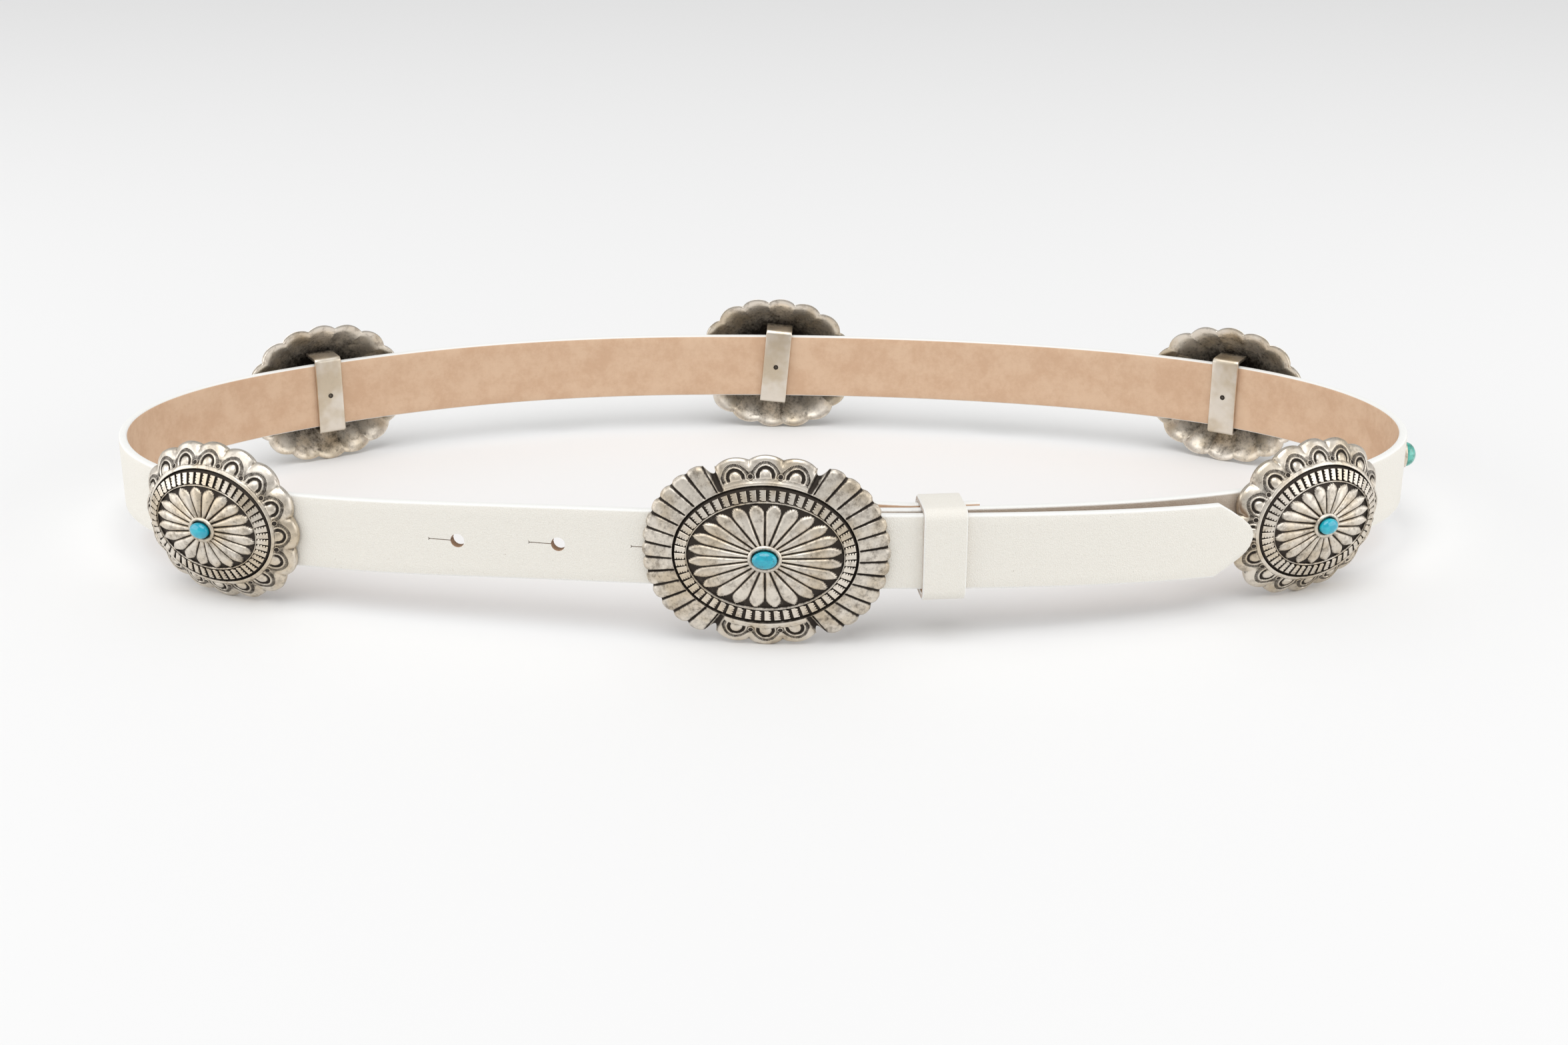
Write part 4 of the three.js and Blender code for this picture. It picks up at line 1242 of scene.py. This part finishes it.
# Shares of the rim's width and of its height.
BEZEL_SECTION = [
    (0.54, -0.4), (0.5, 0.22), (0.47, 0.7), (0.38, 0.9), (0.2, 0.985), (-0.05, 1), (-0.28, 0.96),
    (-0.42, 0.84), (-0.46, 0.3), (-0.5, -0.4),
]
PUNCH_PROFILE = [
    (1.45, -0.4, 0.2), (1.4, 0.02, 0.2), (1.25, 0.06, 0.0), (1.05, 0.03, 0.3), (0.9, 0.02, 0.9),
    (0.3, 0.02, 0.7),
]


def mesh_of(piece):
    """Keeps an object's mesh and lets the object go."""
    mesh = piece.data
    bpy.data.objects.remove(piece)
    return mesh


def turned_mesh(profile, sides=24):
    return mesh_of(turned_motif("turned", profile, sides))


def joined(*meshes):
    """One mesh from several, with their stored numbers."""
    work = bmesh.new()
    for mesh in meshes:
        work.from_mesh(mesh)
    mesh = bpy.data.meshes.new("joined")
    work.to_mesh(mesh)
    work.free()
    return mesh


def add_shade(mesh, level):
    """Stores what the silver reads; the level is one number, or one for each point."""
    for key, value in {"shade": level, "tick_mask": 0.0, "tick_way": 0.0}.items():
        store(mesh, key, np.full(len(mesh.vertices), value))


def bezel_mesh(kind):
    """A smooth rim round the stone, standing on the dome's top."""
    top = float(dome_rise(kind, 0))
    outer, inner = kind["setting"], kind["stone"]
    wide = outer[0] - inner[0]
    section = [(wide * x, SETTING_RISE * y) for x, y in BEZEL_SECTION]
    middle = [(a + b) / 2 for a, b in zip(outer, inner)]
    turn = np.linspace(0, 2 * math.pi, 72, endpoint=False)
    line = np.stack([middle[0] * np.cos(turn), middle[1] * np.sin(turn), 0 * turn], 1)
    mesh = sweep("bezel", line, section, ANTIQUE_SILVER, closed=True)
    co = np.array([v.co for v in mesh.vertices])
    shade = np.clip(SETTING_FOOT_SHADE - co[:, 2] / SETTING_RISE * 2.4, 0, 1)
    inside = np.hypot(co[:, 0] / inner[0], co[:, 1] / inner[1]) < 1.1
    shade[inside & (co[:, 2] < SETTING_RISE * 0.7)] = SETTING_INNER_SHADE
    add_shade(mesh, shade)
    move_points(mesh, lambda x, y, z: (x, -top - z, y))
    smooth_skin(mesh)
    return mesh


def wall_rise(kind, x, z):
    """How high the middle of a medallion's wall lies over its rim."""
    share = math.hypot(2 * x / kind["length"], 2 * z / kind["height"])
    return float(dome_rise(kind, share)) - kind["wall"] / 2


def staple_line(root, leg, depth, bend):
    """A U from one root to the other, down to a depth, with round corners."""
    quarter = np.linspace(0, math.pi / 2, 6)
    corner = zip(depth - bend + bend * np.sin(quarter), leg - bend + bend * np.cos(quarter))
    side = [(root, leg), *corner]
    return [(y, z, 0) for y, z in side] + [(y, -z, 0) for y, z in reversed(side)]


def bail_mesh(kind, face):
    """A flat strip inside the strap, bent round both its edges into the concho's hollow."""
    leg = STRAP_WIDTH / 2 + BAIL_ROOM + BAIL_THICK / 2
    depth = face + BAIL_THICK / 2
    line = staple_line(-wall_rise(kind, BAIL_WIDTH / 2, leg), leg, depth, BAIL_BEND)
    section = rounded_section(BAIL_THICK, BAIL_WIDTH, BAIL_EDGE, 3, 1, 6)
    strip = sweep("bail", line, section, ANTIQUE_SILVER)
    # The legs run back into the concho's hollow and are painted nearly black, as dark as the hollow:
    # partly its oxide, partly painted shade that hides them.
    on_leg = [vertex.co.x < depth - BAIL_BEND - 0.1 for vertex in strip.vertices]
    add_shade(strip, np.where(on_leg, BAIL_LEG_SHADE, BAIL_SHADE))
    move_points(strip, lambda x, y, z: (z, x, y))
    punch = turned_mesh(PUNCH_PROFILE)
    move_points(punch, lambda x, y, z: (x, depth + BAIL_THICK / 2 + z, y))
    for mesh in (strip, punch):
        smooth_skin(mesh, sharp_from=50)
    return joined(strip, punch)


def stone_mesh(half_length, half_height, dome, sides=40, rows=12):
    """A cabochon: an oval dome on a short upright foot."""
    profile = [(1.0, -1.0), (1.0, 0.0)]
    profile += [(math.cos(a), dome * math.sin(a)) for a in np.linspace(0, math.pi / 2, rows)[1:-1]]
    points = [(0, 1.0, 0)]
    for radius, height in profile:
        for side in range(sides):
            angle = side * 2 * math.pi / sides
            across, up = half_length * math.cos(angle), half_height * math.sin(angle)
            points.append((radius * across, -height, radius * up))
    points.append((0, -dome, 0))
    faces = [(0, 1 + i, 1 + (i + 1) % sides) for i in range(sides)]
    faces += ring_faces(sides, len(profile), 1)
    a = 1 + (len(profile) - 1) * sides
    faces += [(len(points) - 1, a + (i + 1) % sides, a + i) for i in range(sides)]
    mesh = mesh_of(new_object("stone_form", points, faces))
    smooth_skin(mesh)
    return mesh


# %% The face of a medallion with its bars and dots
def ring_tilt(kind, inner, outer):
    """How far the dome leans between two ovals."""
    fall = dome_rise(kind, share_of(kind, *inner)) - dome_rise(kind, share_of(kind, *outer))
    return math.atan2(float(fall), (outer[0] + outer[1] - inner[0] - inner[1]) / 2)


def medallion_face(name, kind, band):
    rows, angles, reach = face_rows(kind, band)
    points, faces, numbers = skin(rows + back_rows(kind, angles, reach))
    body = new_object(name, points, faces, numbers)
    smooth_skin(body.data, sharp_from=62)
    inner, outer = kind["bars_in"], kind["bars_out"]
    middle = [(a + b) / 2 for a, b in zip(inner, outer)]
    pitch = math.pi * (middle[0] + middle[1]) / kind["bars"]
    bar = toothed_bar(name + "_bar", outer[0] - inner[0] - 0.1, pitch * 0.72)
    set_round(
        body, bar, ANTIQUE_SILVER, Count=kind["bars"], First_angle=0.03,
        Step_angle=2 * math.pi / kind["bars"], Half_length=middle[0], Half_height=middle[1],
        Rise=float(dome_rise(kind, share_of(kind, *middle))), Tilt=ring_tilt(kind, inner, outer),
    )
    dot = turned_motif(name + "_dot", DOT_PROFILE)
    rim = (kind["length"] / 2, kind["height"] / 2)
    place = [g + (r - g) * kind["dots_at"] for g, r in zip(kind["groove"], rim)]
    tilt = ring_tilt(kind, kind["groove"], rim)
    groove_share = share_of(kind, *kind["groove"])
    rise = float(dome_rise(kind, groove_share + (1 - groove_share) * kind["dots_at"]))
    for first, step, count in dot_runs(kind):
        set_round(
            body, dot, ANTIQUE_SILVER, Count=count, First_angle=math.radians(first),
            Step_angle=math.radians(step), Half_length=place[0], Half_height=place[1],
            Rise=rise, Tilt=tilt,
        )
    mesh = evaluated(body)
    drop(body, bar, dot)
    return mesh


def dot_runs(kind):
    """First angle, step and count of each run of dots, in degrees."""
    if "lobes" in kind:
        step = kind["lobe_span"] / kind["lobes"]
        return [(90 - step / 2, step, 2), (270 - step / 2, step, 2)]
    cells = even_cells(kind, FINE_TURN)
    spots = [math.degrees(np.interp(k + 0.5, cells, FINE_TURN)) for k in range(kind["lunettes"])]
    return [(spot, 0.0, 1) for spot in spots]


# %% Set the five conchos down
# How far along the strap each concho has slipped.
CONCHO_SHIFTS = {
    "front_right": 0, "back_right": 0, "back_middle": 0, "back_left": 0, "front_left": -1.8,
}
CONCHO_PITCH = (GIRTH - BUCKLE_TO_RIGHT - BUCKLE_TO_LEFT) / (len(CONCHO_SHIFTS) - 1)
RIM_BAND = (0.85, 1.05)
# Degrees that a concho has slipped round on the strap.
CONCHO_ROLL = {"back_middle": -5.3}


def rim_seat(kind, seat):
    half = kind["length"] / 2
    return -seat.strap_depths(1, half * RIM_BAND[0], half * RIM_BAND[1]).min() + FIT_GAP


def stone_seat(kind, rim):
    """How far in front of the strap's middle a stone's girdle lies."""
    return rim + float(dome_rise(kind, 0)) + SETTING_RISE - STONE_SINK


def make_conchos():
    face = medallion_face("concho_form", CONCHO, concho_band)
    bezel = bezel_mesh(CONCHO)
    stone = stone_mesh(*CONCHO["stone"], CONCHO["stone_dome"])
    for step, (place, shift) in enumerate(CONCHO_SHIFTS.items()):
        along = BUCKLE_TO_RIGHT + step * CONCHO_PITCH + shift
        seat = Seat(along, along < GIRTH / 2)
        rim = rim_seat(CONCHO, seat)
        inner = seat.strap_depths(-1, 0, BAIL_WIDTH / 2).max()
        bail = bail_mesh(CONCHO, inner + FIT_GAP + rim)
        whole = joined(face, bezel, bail)
        roll = Matrix.Rotation(math.radians(CONCHO_ROLL.get(place, 0)), 4, "Y")
        piece = settle(whole, f"concho_{place}_silver", seat.outward(rim) @ roll)
        finish_piece(piece, ANTIQUE_SILVER, "antique_silver", f"concho_{place}")
        on_top = seat.outward(stone_seat(CONCHO, rim))
        gem = settle(stone, f"concho_{place}_cabochon", on_top)
        finish_piece(gem, BLUE_TURQUOISE, "blue_turquoise", f"concho_{place}_stone")


make_conchos()

# %% [markdown]
# ## The buckle
# The buckle is the larger medallion. Behind it are the bar that the strap folds round, on two
# legs, and the button that goes through the third hole.

# %% The buckle's face and fittings
BAR_LEG = 2.4
BAR_BEND = 1.6
FITTING_SHADE = 0.1
PEG_THICK = 3.6
PEG_HEAD = 6.0
PEG_HEAD_THICK = 1.3


def make_buckle():
    seat = Seat(0.0, False)
    rim = rim_seat(BUCKLE, seat)
    face = medallion_face("buckle_form", BUCKLE, buckle_band)
    bezel = bezel_mesh(BUCKLE)
    for mesh in (face, bezel):
        mesh.transform(Matrix.Translation((0, -rim, 0)))
    bar_depth = float(under_tail(BAR_AT)) + FOLD_RADIUS + float(seat.depth_of(beside_route(BAR_AT, 0)))
    leg = STRAP_WIDTH / 2 + BAIL_ROOM + BAR_LEG / 2
    line = staple_line(-rim - wall_rise(BUCKLE, BAR_AT, leg), leg, bar_depth, BAR_BEND)
    turn = np.linspace(0, 2 * math.pi, 16, endpoint=False)
    section = [(BAR_THICK / 2 * math.cos(a), BAR_THICK / 2 * math.sin(a)) for a in turn]
    bar = sweep("bar", line, section, ANTIQUE_SILVER)
    move_points(bar, lambda y, z, x: (x + BAR_AT, y, z))
    peg_root = -rim - wall_rise(BUCKLE, PEG_AT, 0)
    neck = float(seat.depth_of(beside_route(PEG_AT, 0))) + STRAP_THICK / 2 + 2 * FIT_GAP
    end = neck + PEG_HEAD_THICK
    button = turned_mesh([
        (PEG_THICK / 2, peg_root, 0.2), (PEG_THICK / 2, neck, 0.2), (PEG_HEAD / 2 - 0.2, neck, 0.2),
        (PEG_HEAD / 2, neck + 0.3, 0), (PEG_HEAD / 2, end - 0.4, 0), (PEG_HEAD / 2 - 0.5, end, 0),
    ])
    move_points(button, lambda x, y, z: (x + PEG_AT, z, y))
    for mesh in (bar, button):
        add_shade(mesh, FITTING_SHADE)
        smooth_skin(mesh, sharp_from=45)
    piece = settle(joined(face, bezel, bar, button), "buckle_silver", seat.matrix())
    finish_piece(piece, ANTIQUE_SILVER, "antique_silver", "buckle")
    stone = stone_mesh(*BUCKLE["stone"], BUCKLE["stone_dome"])
    gem = settle(stone, "buckle_cabochon", seat.outward(stone_seat(BUCKLE, rim)))
    finish_piece(gem, BLUE_TURQUOISE, "blue_turquoise", "buckle_stone")


make_buckle()

# %% [markdown]
# ## Studs and the rivet
# Midway between the conchos sits a small round stone in a silver cup, held by its rim. The rivet
# that closes the fold is turned too: two low domes on a shank.

# %% Studs and rivet
STUD = {"base": 10.0, "floor": 0.5, "girdle": 1.6, "stone": 9.0, "dome": 3.9}
# How far along the strap each stud sits from midway.
STUD_SHIFTS = {"right": 0, "back_right": 0, "back_left": 0, "left": -6}
RIVET_THICK = 3.6
RIVET_HEAD = 8.0
RIVET_HEAD_THICK = 0.9


def upright(mesh):
    """Lays a turned mesh down so that its top looks outward."""
    move_points(mesh, lambda x, y, z: (x, -z, y))
    smooth_skin(mesh, sharp_from=45)
    return mesh


def make_studs():
    base = STUD["base"] / 2
    inner = STUD["stone"] / 2 + FIT_GAP
    cup = upright(turned_mesh([
        (base - 0.3, 0, 0.4), (base, 0.25, 0.3), (base, 0.8, 0.1), (base - 0.12, 1.5, 0),
        (base - 0.32, 1.62, 0), (inner - 0.1, 1.5, 0.3), (inner, STUD["floor"], 0.9),
        (0.2, STUD["floor"], 0.9),
    ], 48))
    gem_form = stone_mesh(STUD["stone"] / 2, STUD["stone"] / 2, STUD["dome"])
    for step, (place, shift) in enumerate(STUD_SHIFTS.items()):
        along = BUCKLE_TO_RIGHT + (step + 0.5) * CONCHO_PITCH + shift
        seat = Seat(along, along < GIRTH / 2)
        back = STRAP_THICK / 2 + FIT_GAP
        piece = settle(cup, f"stud_{place}_cup", seat.outward(back))
        finish_piece(piece, ANTIQUE_SILVER, "antique_silver", f"stud_{place}")
        gem = settle(gem_form, f"stud_{place}_cabochon", seat.outward(back + STUD["girdle"]))
        finish_piece(gem, GREEN_TURQUOISE, "green_turquoise", f"stud_{place}_stone")


def make_rivet():
    seat = Seat(RIVET_AT, True)
    reach = RIVET_AT + np.linspace(-0.5, 0.5, 5) * RIVET_HEAD
    front = seat.depth_of(beside_route(reach, -under_tail(reach) + STRAP_THICK / 2)).min() - FIT_GAP
    back = seat.depth_of(beside_route(reach, -fold_inset(reach) - STRAP_THICK / 2)).max() + FIT_GAP
    head = RIVET_HEAD / 2
    shank = RIVET_THICK / 2
    form = turned_mesh([
        (head * 0.45, -back - RIVET_HEAD_THICK, 0), (head * 0.85, -back - RIVET_HEAD_THICK * 0.75, 0),
        (head, -back - 0.1, 0.1), (head, -back, 0.4), (shank, -back, 0.4), (shank, -front, 0.4),
        (head, -front, 0.4), (head, -front + 0.1, 0.1), (head * 0.85, -front + RIVET_HEAD_THICK * 0.75, 0),
        (head * 0.45, -front + RIVET_HEAD_THICK, 0),
    ], 32)
    piece = settle(upright(form), "fold_rivet_silver", seat.matrix())
    finish_piece(piece, ANTIQUE_SILVER, "antique_silver", "fold_rivet")


make_studs()
make_rivet()

# %% [markdown]
# ## A pale table and soft light
# The belt stands on a white surface under a wide soft ceiling light. A panel on either side is
# what the turned conchos mirror, and the world, a little darker, fills the rest, so the parts of
# the silver that lean up stay greyer than those that mirror the table.

# %% Floor and lights
FLOOR_SIZE = 8.0
FLOOR_WHITE = colour(238, 238, 238)
FLOOR_FAR_SHADE = colour(222, 222, 222)
CEILING_WAY = (-0.05, -0.38, 1.0)
CEILING_WIDE = 55
CEILING_STRENGTH = 1.62
PANEL_ASIDE = 1.25
PANEL_FORWARD = 0.35
PANEL_HEIGHT = 0.45
BELT_MIDDLE = Vector((0, 0, 0.03))
PANEL_SIZE = (1.2, 0.9)
PANEL_WATTS = 5
WORLD_LEVEL = 0.49


def make_floor():
    half = FLOOR_SIZE / 2
    corners = [(-half, -half, 0), (half, -half, 0), (half, half, 0), (-half, half, 0)]
    floor = new_object("floor", corners, [(0, 1, 2, 3)])
    material, board, shader = new_material("pale table", {"Roughness": 0.7, "Specular IOR Level": 0.2})
    place = board.add("ShaderNodeTexCoord", out=3)
    back = board.add("ShaderNodeSeparateXYZ", {}, {0: place}, out=1)
    # The table's white is painted darker towards the back: a painted fall-off of the light.
    tone = board.mixed(back.between(0.2, 2.2) + board.noise(3, 2) * 0.02, FLOOR_WHITE, FLOOR_FAR_SHADE)
    feed(board, shader, Base_Color=tone)
    floor.data.materials.append(material)


def make_panel(name, across):
    """An upright sheet of light beside the belt, turned towards it."""
    data = bpy.data.lights.new(name, "AREA")
    data.shape = "RECTANGLE"
    data.size, data.size_y = PANEL_SIZE
    data.energy = PANEL_WATTS
    light = in_scene(name, data)
    light.location = (across, -PANEL_FORWARD, PANEL_HEIGHT)
    light.rotation_euler = (BELT_MIDDLE - light.location).to_track_quat("-Z", "Y").to_euler()


def make_ceiling():
    """An even light from a wide patch of the ceiling, the same all over the table."""
    data = bpy.data.lights.new("ceiling", "SUN")
    data.energy = CEILING_STRENGTH
    data.angle = math.radians(CEILING_WIDE)
    in_scene("ceiling", data).rotation_euler = Vector(CEILING_WAY).to_track_quat("Z", "Y").to_euler()


def make_world():
    world = bpy.data.worlds.new("studio")
    world.use_nodes = True
    board = Board(world.node_tree)
    glow = board.add("ShaderNodeBackground", {}, {
        "Color": (1, 1, 1, 1), "Strength": WORLD_LEVEL,
    })
    board.add("ShaderNodeOutputWorld", {}, {"Surface": glow})
    bpy.context.scene.world = world


make_floor()
make_ceiling()
make_panel("left panel", -PANEL_ASIDE)
make_panel("right panel", PANEL_ASIDE)
make_world()
bpy.context.scene.view_settings.view_transform = "Standard"
print("lights:", [light.name for light in bpy.data.lights])
